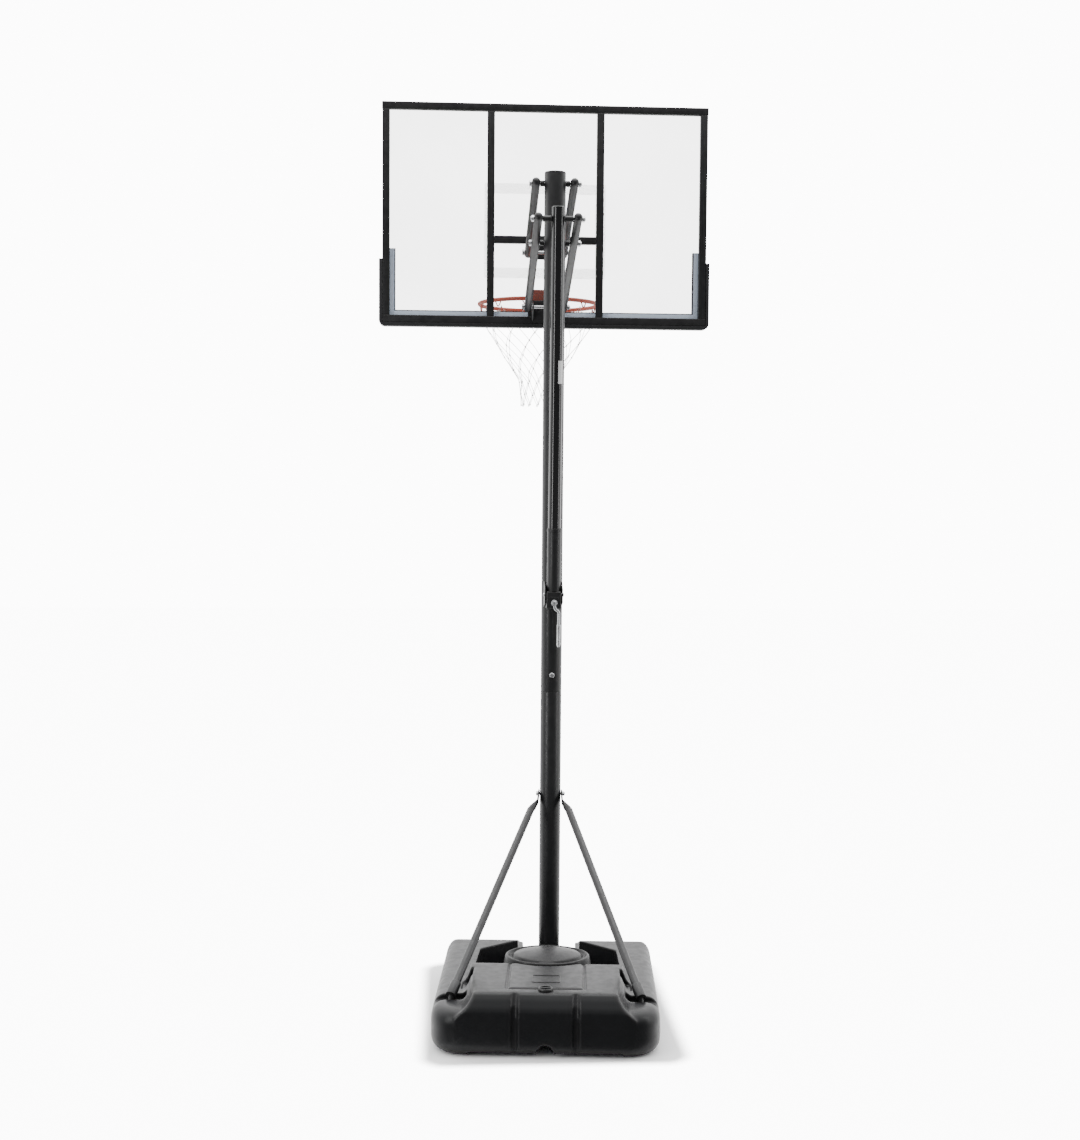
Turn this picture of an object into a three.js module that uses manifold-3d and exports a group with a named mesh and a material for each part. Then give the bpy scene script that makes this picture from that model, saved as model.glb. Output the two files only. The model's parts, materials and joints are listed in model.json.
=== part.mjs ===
// Portable basketball hoop, in millimetres, +Z up.
// The court side is +Y and the ballast tank is on the -Y side; +X is right for someone behind the tank.
// Inside the hoop group the pole's axis is X = 0, Y = 0. The group then moves by POLE_Y,
// which puts the origin on the ground, under the middle of the whole hoop.

import * as THREE from 'three';
import { mergeVertices } from 'three/addons/utils/BufferGeometryUtils.js';
import Module from 'manifold-3d';

const wasm = await Module();
wasm.setup();

// ---- Driving dimensions -----------------------------------------------------------------

const GAP = 0.3;
const degrees = THREE.MathUtils.degToRad;

// Ballast tank. The pole is turned in its seat, so the tank and what it carries turn by BASE_TURN.
const BASE_TURN = degrees(-4.6);
const BASE_HALF = 345;
const BASE_REAR = -822;
const BASE_FRONT = 35;
const SHOULDER_TOP = 136;
const BASE_ROUND = 36;
const REAR_CORNER = 95;
const FRONT_CORNER = 150;
const RUNNER_INNER = 230;
const RUNNER_FRONT = -80;
const UNDERSIDE_RECESS = 14;
const DECK_TOP = 185;
const DECK_REAR = -783;
const DECK_FRONT = -500;
const DECK_REAR_HALF = 213;
const DECK_FRONT_HALF = 240;
const DECK_FOOT_HALF = 272;
const DOME_Y = -420;
const DOME_RADIUS = 116;
const DOME_RISE = 16;
const COLLAR_RADIUS = 134;
const COLLAR_FLARE = 12;
const COLLAR_DEPTH = 100;
const RING_WIDTH = 9;
const RING_FLOOR = 158;
const NOTCH_HALF = 104;
const NOTCH_REAR = -318;
const NOTCH_FLOOR = 88;
const SLOT_HALF = 90;
const SEAT_HALF = 42;
const SEAT_TOP = 16;
const WELL_FLOOR = 50;
const GROOVE_FLOOR = 114;
const CAP_Y = -755;
const CAP_RADIUS = 22.5;
const CAP_PLUG = 16;

// Wheels and axle
const AXLE_Z = 40;
const AXLE_RADIUS = 6;
const WHEEL_RADIUS = 37;
const WHEEL_INNER = 46;
const WHEEL_OUTER = 84;

// Pole
const POLE_RADIUS = 36;
const POLE_WALL = 2;
const LOWER_JOINT = 975;
const UPPER_JOINT = 1930;
const POLE_TOP = 2727;
const SPIGOT = 120;
const JOINT_BOLT_Z = 1034;

// Struts
const STRUT_RADIUS = 12.5;
const STRUT_FOOT = new THREE.Vector3(284, -680, 150);
const STRUT_TOP = new THREE.Vector3(50.2, -25, 605);
const STRUT_BOLT_Z = 619;

// Height linkage
const ARM_ANGLE = degrees(-20);
const ARM_LENGTH = 485;
const ARM_X = 65;
const ARM_RADIUS = 14;
const UPPER_PIVOT_Z = 2693;
const LOWER_PIVOT_Z = 2495;
const REAR_REACH = 165;
const PIVOT_BOLT = 6;
const BOARD_PIVOT_Y = ARM_LENGTH * Math.cos(ARM_ANGLE);
const ARM_DROP = ARM_LENGTH * Math.sin(ARM_ANGLE);

// Screw jack: it leans back from its trunnions to the arms' rear pins
const JACK_Y = -85;
const JACK_Z = 1313;
const JACK_TOP_Y = -REAR_REACH * Math.cos(ARM_ANGLE);
const JACK_TOP_Z = LOWER_PIVOT_Z - REAR_REACH * Math.sin(ARM_ANGLE);
const JACK_LENGTH = Math.hypot(JACK_TOP_Y - JACK_Y, JACK_TOP_Z - JACK_Z);
const JACK_LEAN = Math.atan2(JACK_Y - JACK_TOP_Y, JACK_TOP_Z - JACK_Z);
const JACK_TUBE = 21;
const JACK_SLEEVE = 23.5;
const JACK_SPLIT = 225;
const JACK_ABOVE_PIN = 43;
const SCREW_RADIUS = 8;
const CRANK_DROP = 22;
const CRANK_OUT = 38;

// Board
const BOARD_HALF = 600;
const BOARD_BOTTOM = 2272;
const BOARD_TOP = 3072;
const BOARD_BACK = BOARD_PIVOT_Y + 44;
const RAIL = 27;
const RAIL_DEPTH = 25;
const MULLION_X = 202;
const MID_RAIL_Z = 2580;
const PANEL = 4;
const PANEL_BACK = BOARD_BACK + RAIL_DEPTH + GAP;
const BOARD_FRONT = PANEL_BACK + PANEL;
const PAD_SIDE = 12;
const PAD_TOP = 2503;
const FLANGE_TOP = 2545;
const PAD_LIP = 48;
const PAD_FRONT = 11;

// Rim and net
const RIM_Z = 2387;
const RIM_INNER = 225;
const RIM_ROD = 8;
const RIM_REACH = 155;
const RIM_Y = BOARD_FRONT + RIM_REACH + RIM_INNER;
const HOOKS = 12;
const NET_WALL = 3;
const NET_SHAPE = [[14, 219], [97, 205], [224, 125], [300, 76], [415, 66]];

const HOOP_FRONT = RIM_Y + RIM_INNER + 2 * RIM_ROD;
const HOOP_REAR = (BASE_REAR + REAR_CORNER) * Math.cos(BASE_TURN)
  + (BASE_HALF - REAR_CORNER) * Math.sin(BASE_TURN) - REAR_CORNER;
const POLE_Y = -(HOOP_FRONT + HOOP_REAR) / 2;

// ---- Materials --------------------------------------------------------------------------

function finish(color, roughness, metalness, opacity = 1) {
  return new THREE.MeshStandardMaterial({ color, roughness, metalness, opacity, transparent: opacity < 1 });
}

const tankPlastic = finish(0x2b2b2d, 0.55, 0);
const blackPlastic = finish(0x141415, 0.45, 0);
const padPlastic = finish(0x26272a, 0.6, 0);
const tyrePlastic = finish(0x1a1a1b, 0.7, 0);
const blackPaint = finish(0x303133, 0.4, 0.3);
const glossPaint = finish(0x161617, 0.2, 0.3);
const zinc = finish(0xb9bcbd, 0.35, 0.9);
const rimPaint = finish(0xd6452c, 0.4, 0.2);
const clearPanel = finish(0xe9e8e6, 0.15, 0, 0.5);
const netCord = finish(0xf1f1ee, 0.9, 0);

// ---- Solids -----------------------------------------------------------------------------

// A manifold solid needs shared corners and no triangle with two corners alike.
function solidOf(geometry) {
  const plain = geometry.clone();
  plain.deleteAttribute('normal');
  plain.deleteAttribute('uv');
  const merged = mergeVertices(plain, 1e-4);
  const index = merged.index.array;
  const corners = [];
  for (let i = 0; i < index.length; i += 3) {
    const [a, b, c] = index.slice(i, i + 3);
    if (a !== b && b !== c && c !== a) corners.push(a, b, c);
  }
  return new wasm.Manifold(new wasm.Mesh({
    numProp: 3,
    vertProperties: new Float32Array(merged.attributes.position.array),
    triVerts: new Uint32Array(corners),
  }));
}

function geometryOf(solid) {
  const mesh = solid.getMesh();
  const geometry = new THREE.BufferGeometry();
  geometry.setAttribute('position', new THREE.BufferAttribute(mesh.vertProperties, 3));
  geometry.setIndex(new THREE.BufferAttribute(mesh.triVerts, 1));
  geometry.computeVertexNormals();
  return geometry;
}

function join(...geometries) {
  return geometryOf(geometries.map(solidOf).reduce((all, next) => all.add(next)));
}

function carve(geometry, ...tools) {
  return geometryOf(tools.map(solidOf).reduce((rest, tool) => rest.subtract(tool), solidOf(geometry)));
}

function block([x0, x1], [y0, y1], [z0, z1]) {
  const box = new THREE.BoxGeometry(x1 - x0, y1 - y0, z1 - z0);
  return box.translate((x0 + x1) / 2, (y0 + y1) / 2, (z0 + z1) / 2);
}

// Turns a solid made along +Y from the origin so that it runs from one point towards another.
function aim(geometry, from, to) {
  const direction = to.clone().sub(from).normalize();
  const turn = new THREE.Quaternion().setFromUnitVectors(new THREE.Vector3(0, 1, 0), direction);
  return geometry.applyQuaternion(turn).translate(from.x, from.y, from.z);
}

function rod(radius, from, to, sides = 12) {
  const length = from.distanceTo(to);
  return aim(new THREE.CylinderGeometry(radius, radius, length, sides).translate(0, length / 2, 0), from, to);
}

function lathe(profile, sides = 24) {
  return new THREE.LatheGeometry(profile.map(([r, h]) => new THREE.Vector2(r, h)), sides);
}

function pipe(outer, inner, from, to, sides = 16) {
  const length = from.distanceTo(to);
  const profile = [[inner, 0], [outer, 0], [outer, length], [inner, length], [inner, 0]];
  return aim(lathe(profile, sides), from, to);
}

const point = (x, y, z) => new THREE.Vector3(x, y, z);
const rodX = (radius, x0, x1, y, z, sides) => rod(radius, point(x0, y, z), point(x1, y, z), sides);
const rodY = (radius, x, y0, y1, z, sides) => rod(radius, point(x, y0, z), point(x, y1, z), sides);
const rodZ = (radius, x, y, z0, z1, sides) => rod(radius, point(x, y, z0), point(x, y, z1), sides);

function outline(corners) {
  return new THREE.Shape(corners.map(([u, v]) => new THREE.Vector2(u, v)));
}

function plate(shape, depth) {
  return new THREE.ExtrudeGeometry(shape, { depth, bevelEnabled: false, curveSegments: 6 });
}

// A plan outline (X, Y), a rear-view outline (X, Z) or a side outline (Y, Z), extruded along the third axis.
const alongZ = (shape, z0, z1) => plate(shape, z1 - z0).translate(0, 0, z0);
const alongY = (shape, y0, y1) => plate(shape, y1 - y0).rotateX(Math.PI / 2).translate(0, y1, 0);
const alongX = (shape, x0, x1) =>
  plate(shape, x1 - x0).rotateX(Math.PI / 2).rotateZ(Math.PI / 2).translate(x0, 0, 0);

// ---- Scene graph ------------------------------------------------------------------------

const group = new THREE.Group();
const hoop = new THREE.Group();
hoop.position.y = POLE_Y;
group.add(hoop);

function add(name, geometry, material, parent = hoop) {
  const mesh = new THREE.Mesh(geometry, material);
  mesh.name = name;
  parent.add(mesh);
}

function frameAt(y, z, lean) {
  const frame = new THREE.Group();
  frame.position.set(0, y, z);
  frame.rotation.x = lean;
  hoop.add(frame);
  return frame;
}

const base = new THREE.Group();
base.rotation.z = BASE_TURN;
hoop.add(base);

const SIDES = [['left', -1], ['right', 1]];
const span = (side, near, far) => (side < 0 ? [-far, -near] : [near, far]);

// ---- Ballast tank -----------------------------------------------------------------------

function planOutline() {
  const shape = new THREE.Shape();
  shape.moveTo(-BASE_HALF + REAR_CORNER, BASE_REAR);
  shape.lineTo(BASE_HALF - REAR_CORNER, BASE_REAR);
  shape.absarc(BASE_HALF - REAR_CORNER, BASE_REAR + REAR_CORNER, REAR_CORNER, -Math.PI / 2, 0);
  shape.lineTo(BASE_HALF, BASE_FRONT - FRONT_CORNER);
  shape.absarc(BASE_HALF - FRONT_CORNER, BASE_FRONT - FRONT_CORNER, FRONT_CORNER, 0, Math.PI / 2);
  shape.lineTo(-BASE_HALF + FRONT_CORNER, BASE_FRONT);
  shape.absarc(FRONT_CORNER - BASE_HALF, BASE_FRONT - FRONT_CORNER, FRONT_CORNER, Math.PI / 2, Math.PI);
  shape.lineTo(-BASE_HALF, BASE_REAR + REAR_CORNER);
  shape.absarc(REAR_CORNER - BASE_HALF, BASE_REAR + REAR_CORNER, REAR_CORNER, Math.PI, 1.5 * Math.PI);
  return shape;
}

function slab() {
  return new THREE.ExtrudeGeometry(planOutline(), {
    depth: SHOULDER_TOP - 2 * BASE_ROUND,
    bevelThickness: BASE_ROUND,
    bevelSize: BASE_ROUND,
    bevelOffset: -BASE_ROUND,
    bevelSegments: 3,
    curveSegments: 4,
  }).translate(0, 0, BASE_ROUND);
}

// The deck's rear wall is flush with the body's and leans forward above it.
function deck() {
  const corners = [];
  for (const [, side] of SIDES) {
    corners.push(
      [side * DECK_FOOT_HALF, BASE_REAR + 3, 40],
      [side * DECK_FOOT_HALF, DECK_FRONT + 20, 40],
      [side * (DECK_FOOT_HALF - 12), BASE_REAR + 5, 110],
      [side * (DECK_REAR_HALF + 8), DECK_REAR - 12, DECK_TOP - 14],
      [side * DECK_REAR_HALF, DECK_REAR, DECK_TOP],
      [side * DECK_FRONT_HALF, DECK_FRONT, DECK_TOP],
    );
  }
  return geometryOf(wasm.Manifold.hull(corners));
}

// Turns a lathed solid upright and draws it in along Y, so that its plan is the dome's oval.
const oval = (profile) => lathe(profile, 32).rotateX(Math.PI / 2)
  .scale(1, COLLAR_DEPTH / COLLAR_RADIUS, 1).translate(0, DOME_Y, 0);

function dome() {
  const bulge = (DOME_RADIUS ** 2 + DOME_RISE ** 2) / (2 * DOME_RISE);
  const steps = 3;
  const foot = COLLAR_RADIUS + COLLAR_FLARE;
  const profile = [[0, 40], [foot, 40], [foot, 130], [COLLAR_RADIUS, DECK_TOP + 2], [DOME_RADIUS, DECK_TOP + 2]];
  for (let i = steps - 1; i >= 0; i -= 1) {
    const radius = DOME_RADIUS * i / steps;
    profile.push([radius, DECK_TOP + 2 + DOME_RISE - bulge + Math.sqrt(bulge ** 2 - radius ** 2)]);
  }
  return oval(profile);
}

// The sunk ring that parts the dome's collar from the deck.
function domeRing() {
  const inner = COLLAR_RADIUS - 1;
  const outer = COLLAR_RADIUS + RING_WIDTH;
  return oval([[inner, RING_FLOOR], [outer, RING_FLOOR], [outer, DECK_TOP + 1], [inner, DECK_TOP + 1],
    [inner, RING_FLOOR]]);
}

function wells() {
  return SIDES.map(([, side]) => {
    const plan = [[100, -496], [238, -496], [226, -206], [100, -104]].map(([x, y]) => [side * x, y]);
    return alongZ(outline(side < 0 ? plan.reverse() : plan), WELL_FLOOR, DECK_TOP);
  });
}

function wheelSlots() {
  return SIDES.map(([, side]) => block(span(side, SEAT_HALF, SLOT_HALF), [-46, BASE_FRONT + 1], [-1, DECK_TOP]));
}

function strutGrooves() {
  return SIDES.map(([, side]) =>
    block(span(side, 240, BASE_HALF + 1), [STRUT_FOOT.y - 26, STRUT_FOOT.y + 26], [GROOVE_FLOOR, DECK_TOP]));
}

function handPockets() {
  return SIDES.map(([, side]) => block(span(side, 226, 262), [-612, -546], [130, DECK_TOP]));
}

function rearFlutes() {
  return SIDES.map(([, side]) => rodZ(11, side * 91, BASE_REAR - 1, -1, DECK_TOP + 1, 8));
}

// The shoulders fall away in front of the wells.
function frontSlope() {
  return alongX(outline([[-110, 139], [BASE_FRONT + 1, 92], [BASE_FRONT + 1, 200], [-110, 200]]),
    -BASE_HALF - 1, BASE_HALF + 1);
}

function baseShell() {
  const body = carve(
    join(slab(), carve(deck(), domeRing())),
    block([-RUNNER_INNER, RUNNER_INNER], [BASE_REAR - 1, RUNNER_FRONT], [-1, UNDERSIDE_RECESS]),
    block([-NOTCH_HALF, NOTCH_HALF], [NOTCH_REAR, BASE_FRONT + 1], [NOTCH_FLOOR, DECK_TOP + DOME_RISE + 3]),
    block([-SEAT_HALF - 1, SEAT_HALF + 1], [-SEAT_HALF - 4, BASE_FRONT + 1], [SEAT_TOP, DECK_TOP]),
    frontSlope(),
    rodY(25, 0, BASE_REAR - 1, BASE_REAR + 60, UNDERSIDE_RECESS),
    rodX(AXLE_RADIUS + 0.4, -152, 152, 0, AXLE_Z),
    rodZ(CAP_PLUG + 0.4, 0, CAP_Y, DECK_TOP - 30, DECK_TOP + 1, 24),
    ...wells(),
    ...wheelSlots(),
    ...strutGrooves(),
    ...handPockets(),
    ...rearFlutes(),
  );
  return join(body, dome());
}

function fillCap() {
  const profile = [[0, -24], [CAP_PLUG, -24], [CAP_PLUG, GAP], [CAP_RADIUS, GAP],
    [CAP_RADIUS, 6], [CAP_RADIUS - 3, 8], [0, 8]];
  const body = lathe(profile).rotateX(Math.PI / 2).translate(0, CAP_Y, DECK_TOP);
  const grip = block([-14, 14], [CAP_Y - 3, CAP_Y + 3], [DECK_TOP + 4, DECK_TOP + 9]);
  return carve(body, grip);
}

add('base_shell', baseShell(), tankPlastic, base);
add('fill_cap', fillCap(), blackPlastic, base);

// ---- Wheels -----------------------------------------------------------------------------

function wheel(side) {
  const edge = 6;
  const hub = 12;
  const width = WHEEL_OUTER - WHEEL_INNER;
  const bore = AXLE_RADIUS + 0.5;
  const profile = [[bore, 0], [hub, 0], [hub + 3, 6], [WHEEL_RADIUS - 10, 6], [WHEEL_RADIUS - edge, 0],
    [WHEEL_RADIUS, edge], [WHEEL_RADIUS, width - edge], [WHEEL_RADIUS - edge, width],
    [WHEEL_RADIUS - 10, width - 6], [hub + 3, width - 6], [hub, width], [bore, width], [bore, 0]];
  const [start] = span(side, WHEEL_INNER, WHEEL_OUTER);
  return aim(lathe(profile, 20), point(start, 0, AXLE_Z), point(start + width, 0, AXLE_Z));
}

add('axle', rodX(AXLE_RADIUS, -150, 150, 0, AXLE_Z), zinc, base);
for (const [name, side] of SIDES) add(`wheel_${name}`, wheel(side), tyrePlastic, base);

// ---- Pole -------------------------------------------------------------------------------

function poleSection(bottom, top, spigot) {
  const inner = POLE_RADIUS - POLE_WALL;
  const neck = inner - GAP;
  const profile = [[inner, bottom], [POLE_RADIUS, bottom], [POLE_RADIUS, top]];
  if (spigot) {
    profile.push([neck, top], [neck, top + spigot], [neck - POLE_WALL, top + spigot],
      [neck - POLE_WALL, top - 4], [inner, top - 8]);
  } else {
    profile.push([inner, top]);
  }
  profile.push([inner, bottom]);
  return lathe(profile).rotateX(Math.PI / 2);
}

function poleCap() {
  const plug = POLE_RADIUS - POLE_WALL - 0.6;
  const profile = [[0, -18], [plug, -18], [plug, GAP], [POLE_RADIUS, GAP], [POLE_RADIUS, 3], [POLE_RADIUS - 3, 5],
    [0, 5]];
  return lathe(profile).rotateX(Math.PI / 2).translate(0, 0, POLE_TOP);
}

const boltHole = (z, radius) => rodX(radius + 0.4, -60, 60, 0, z);
const jointHole = (turn = 0) => rodY(5.4, 0, -60, 60, JOINT_BOLT_Z, 12).rotateZ(turn);

// A bolt along X, with its hexagon head on the left and its nut on the right.
function crossBolt(radius, reach, y, z) {
  const hex = radius * 1.8;
  return join(
    rodX(radius, -reach - 8, reach + 10, y, z),
    rodX(hex, -reach - 7, -reach, y, z, 6),
    rodX(hex, reach, reach + 8, y, z, 6),
  );
}

function jointBolt() {
  const head = POLE_RADIUS + GAP;
  return join(
    rodY(5, 0, -head - 5, head + 10, JOINT_BOLT_Z, 12),
    rodY(9.5, 0, -head - 6, -head, JOINT_BOLT_Z, 6),
    rodY(9.5, 0, head, head + 7, JOINT_BOLT_Z, 6),
  );
}

add('pole_lower', carve(
  poleSection(SEAT_TOP + GAP, LOWER_JOINT, SPIGOT),
  boltHole(AXLE_Z, AXLE_RADIUS), boltHole(STRUT_BOLT_Z, 5), jointHole(-BASE_TURN),
), blackPaint, base);
add('pole_middle', carve(poleSection(LOWER_JOINT + GAP, UPPER_JOINT, SPIGOT), jointHole()), blackPaint);
add('pole_upper', carve(
  poleSection(UPPER_JOINT + GAP, POLE_TOP),
  boltHole(UPPER_PIVOT_Z, PIVOT_BOLT), boltHole(LOWER_PIVOT_Z, PIVOT_BOLT),
), blackPaint);
add('pole_cap', poleCap(), blackPlastic);
add('pole_joint_bolt', jointBolt(), zinc);

// ---- Struts -----------------------------------------------------------------------------

const mirrored = (vector, side) => point(side * vector.x, vector.y, vector.z);

function strut(side) {
  const foot = mirrored(STRUT_FOOT, side);
  const top = mirrored(STRUT_TOP, side);
  const slope = Math.atan2(top.z - foot.z, top.y - foot.y);
  const tongue = new THREE.BoxGeometry(5, 66, 24).rotateX(slope);
  tongue.translate(side * (POLE_RADIUS + 3), -14, STRUT_BOLT_Z - 8);
  return carve(
    join(pipe(STRUT_RADIUS, STRUT_RADIUS - 1.5, foot, top), tongue),
    boltHole(STRUT_BOLT_Z, 5),
  );
}

// A cup round the strut's end, on a post with a flange that is screwed to the groove's floor.
function strutFoot(side) {
  const foot = mirrored(STRUT_FOOT, side);
  const along = mirrored(STRUT_TOP, side).sub(foot).normalize();
  const at = (distance) => foot.clone().addScaledVector(along, distance);
  const floor = GROOVE_FLOOR + GAP;
  return carve(
    join(
      rod(STRUT_RADIUS + 4, at(-14), at(34)),
      rodZ(12, foot.x, foot.y - 4, floor, foot.z),
      rodZ(21, foot.x, foot.y, floor, floor + 5),
    ),
    rod(STRUT_RADIUS + GAP, at(-GAP), at(60), 16),
  );
}

for (const [name, side] of SIDES) {
  add(`strut_${name}`, strut(side), blackPaint, base);
  add(`strut_foot_${name}`, strutFoot(side), blackPlastic, base);
}
add('strut_top_bolt', crossBolt(5, POLE_RADIUS + 6, 0, STRUT_BOLT_Z), zinc, base);

// ---- Height linkage ---------------------------------------------------------------------

const ARM_OUTSIDE = ARM_X + ARM_RADIUS + 0.4;
const ARM_INSIDE = ARM_X - ARM_RADIUS - 0.4;

// In an arm's frame, +Y runs from the pole pivot to the board pivot.
function arm(side, rear, ...pivots) {
  const x = side * ARM_X;
  const holes = pivots.map((y) => rodX(PIVOT_BOLT + 0.4, x - 20, x + 20, y, 0));
  return carve(pipe(ARM_RADIUS, ARM_RADIUS - 2, point(x, -rear, 0), point(x, ARM_LENGTH + 18, 0)), ...holes);
}

function armCap(side, rear) {
  const profile = [[0, -5], [ARM_RADIUS - 2.5, -5], [ARM_RADIUS - 2.5, GAP], [ARM_RADIUS, GAP]];
  const steps = 3;
  for (let i = 1; i <= steps; i += 1) {
    const turn = i * Math.PI / 2 / steps;
    profile.push([i < steps ? ARM_RADIUS * Math.cos(turn) : 0, GAP + 12 * Math.sin(turn)]);
  }
  const x = side * ARM_X;
  return aim(lathe(profile, 16), point(x, -rear, 0), point(x, -rear - 10, 0));
}

function spacer(side, near, y, z) {
  const [x0, x1] = span(side, near, ARM_INSIDE);
  return pipe(10, PIVOT_BOLT + 0.4, point(x0, y, z), point(x1, y, z));
}

function rearPin(side) {
  const reach = [JACK_TUBE + 1, ARM_OUTSIDE + 9].map((x) => side * x);
  const head = [ARM_OUTSIDE, ARM_OUTSIDE + 7].map((x) => side * x);
  return join(rodX(PIVOT_BOLT, ...reach, -REAR_REACH, 0), rodX(11, ...head, -REAR_REACH, 0, 6));
}

const upperArms = frameAt(0, UPPER_PIVOT_Z, ARM_ANGLE);
const lowerArms = frameAt(0, LOWER_PIVOT_Z, ARM_ANGLE);
const UPPER_REAR = 12;
const LOWER_REAR = REAR_REACH + 12;

for (const [name, side] of SIDES) {
  add(`upper_arm_${name}`, arm(side, UPPER_REAR, 0, ARM_LENGTH), blackPaint, upperArms);
  add(`upper_arm_cap_${name}`, armCap(side, UPPER_REAR), blackPlastic, upperArms);
  add(`lower_arm_${name}`, arm(side, LOWER_REAR, -REAR_REACH, 0, ARM_LENGTH), blackPaint, lowerArms);
  add(`lower_arm_cap_${name}`, armCap(side, LOWER_REAR), blackPlastic, lowerArms);
  add(`rear_pin_${name}`, rearPin(side), zinc, lowerArms);
  add(`rear_spacer_${name}`, spacer(side, JACK_TUBE + 1, -REAR_REACH, 0), blackPlastic, lowerArms);
  add(`upper_spacer_${name}`, spacer(side, POLE_RADIUS + GAP, 0, UPPER_PIVOT_Z), blackPlastic);
  add(`lower_spacer_${name}`, spacer(side, POLE_RADIUS + GAP, 0, LOWER_PIVOT_Z), blackPlastic);
}
add('upper_pivot_bolt', crossBolt(PIVOT_BOLT, ARM_OUTSIDE, 0, UPPER_PIVOT_Z), zinc);
add('lower_pivot_bolt', crossBolt(PIVOT_BOLT, ARM_OUTSIDE, 0, LOWER_PIVOT_Z), zinc);

// ---- Screw jack -------------------------------------------------------------------------
// In the jack's frame, +Z runs from the trunnions to the arms' rear pins.

const HOUSING_TOP = 13.7;
const HOUSING_BOTTOM = -46;
const BEVEL_FAR = 16;
const BEVEL_NEAR = 9;

function gearHousing() {
  return carve(
    join(block([-25, 25], [-23, 23], [HOUSING_BOTTOM, HOUSING_TOP]), rodX(6, -35, 35, 0, 0)),
    block([-21, 21], [-19, 19], [HOUSING_BOTTOM + 4, HOUSING_TOP - 5]),
    rodZ(SCREW_RADIUS + 0.5, 0, 0, 0, 20),
    rodY(6.5, 0, -30, -10, -CRANK_DROP),
  );
}

// A bevel wheel grows away from the point where the crank's axis crosses the screw's.
function bevelWheel() {
  const slack = 0.4;
  const profile = [[0, BEVEL_NEAR], [BEVEL_NEAR - slack, BEVEL_NEAR], [BEVEL_FAR - slack, BEVEL_FAR], [0, BEVEL_FAR]];
  return lathe(profile, 12);
}

function leadScrew() {
  const wheelUp = bevelWheel().rotateX(Math.PI / 2).translate(0, 0, -CRANK_DROP);
  return join(wheelUp, rodZ(SCREW_RADIUS, 0, 0, -CRANK_DROP + BEVEL_FAR - 1, JACK_SPLIT + 15));
}

function upperTube() {
  const bottom = JACK_SPLIT - 12;
  const nut = pipe(JACK_TUBE - 1, SCREW_RADIUS + 0.5, point(0, 0, bottom), point(0, 0, bottom + 20), 20);
  const tube = pipe(JACK_TUBE, JACK_TUBE - 2, point(0, 0, bottom), point(0, 0, JACK_LENGTH + JACK_ABOVE_PIN - 4), 20);
  const lid = rodZ(JACK_TUBE, 0, 0, JACK_LENGTH + JACK_ABOVE_PIN - 6, JACK_LENGTH + JACK_ABOVE_PIN, 20);
  return join(nut, tube, lid);
}

function crankArm() {
  const elbow = [[0, -CRANK_DROP], [3, -44], [16, -52], [16, -172]];
  const corners = elbow.map(([x, z]) => point(x, -CRANK_OUT, z));
  const wheelBack = bevelWheel().rotateX(Math.PI).translate(0, 0, -CRANK_DROP);
  const pieces = [
    wheelBack,
    rodY(6, 0, -CRANK_OUT, 1 - BEVEL_FAR, -CRANK_DROP),
    rodY(10, 0, -CRANK_OUT - 8, -26, -CRANK_DROP),
  ];
  for (let i = 1; i < corners.length; i += 1) {
    pieces.push(rod(5, corners[i - 1], corners[i], 10));
    pieces.push(new THREE.IcosahedronGeometry(5.4, 0).translate(...corners[i].toArray()));
  }
  return join(...pieces);
}

function crankGrip() {
  return pipe(7.5, 5.8, point(16, -CRANK_OUT, -166), point(16, -CRANK_OUT, -96), 12);
}

function jackBracket() {
  const [low, high] = [JACK_Z - 46, JACK_Z + 42];
  const side = outline([[-104, low + 20], [-40, low], [-40, high], [-70, high], [-104, high - 22]]);
  const ears = SIDES.map(([, sign]) => carve(alongX(side, ...span(sign, 27, 31)), rodX(6.4, -40, 40, JACK_Y, JACK_Z)));
  return join(block([-31, 31], [-43, -POLE_RADIUS - GAP], [low, high]), ...ears);
}

const jack = frameAt(JACK_Y, JACK_Z, JACK_LEAN);
add('jack_bracket', jackBracket(), blackPaint);
add('gear_housing', gearHousing(), blackPaint, jack);
add('jack_outer_tube',
  pipe(JACK_SLEEVE, JACK_TUBE + 0.5, point(0, 0, HOUSING_TOP + GAP), point(0, 0, JACK_SPLIT), 20), blackPaint, jack);
add('jack_upper_tube', upperTube(), glossPaint, jack);
add('lead_screw', leadScrew(), zinc, jack);
add('crank_arm', crankArm(), zinc, jack);
add('crank_grip', crankGrip(), zinc, jack);

// ---- Board ------------------------------------------------------------------------------

function rail(shapeWidth, shapeDepth) {
  const wall = 2;
  const ring = (inset) => {
    const [u, v] = [shapeWidth / 2 - inset, shapeDepth / 2 - inset];
    return [[-u, -v], [u, -v], [u, v], [-u, v]];
  };
  const shape = outline(ring(0));
  shape.holes.push(outline(ring(wall).reverse()));
  return shape;
}

function railAlongX(x0, x1, z, height = RAIL) {
  return alongX(rail(RAIL_DEPTH, height), x0, x1).translate(0, BOARD_BACK + RAIL_DEPTH / 2, z);
}

function railAlongZ(x, z0, z1) {
  return alongZ(rail(RAIL, RAIL_DEPTH), z0, z1).translate(x, BOARD_BACK + RAIL_DEPTH / 2, 0);
}

const INSIDE_LOW = BOARD_BOTTOM + RAIL + GAP;
const INSIDE_HIGH = BOARD_TOP - RAIL - GAP;
const SIDE_RAIL_X = BOARD_HALF - RAIL / 2;
const RIM_BOLT_Z = RIM_Z - 48;
const RIM_BOLT_X = 42;

function panel() {
  const holes = SIDES.map(([, side]) => rodY(4.4, side * RIM_BOLT_X, PANEL_BACK - 5, BOARD_FRONT + 5, RIM_BOLT_Z, 12));
  return carve(
    block([-BOARD_HALF + 3, BOARD_HALF - 3], [PANEL_BACK, BOARD_FRONT], [BOARD_BOTTOM + 3, BOARD_TOP - 3]),
    ...holes,
  );
}

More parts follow.
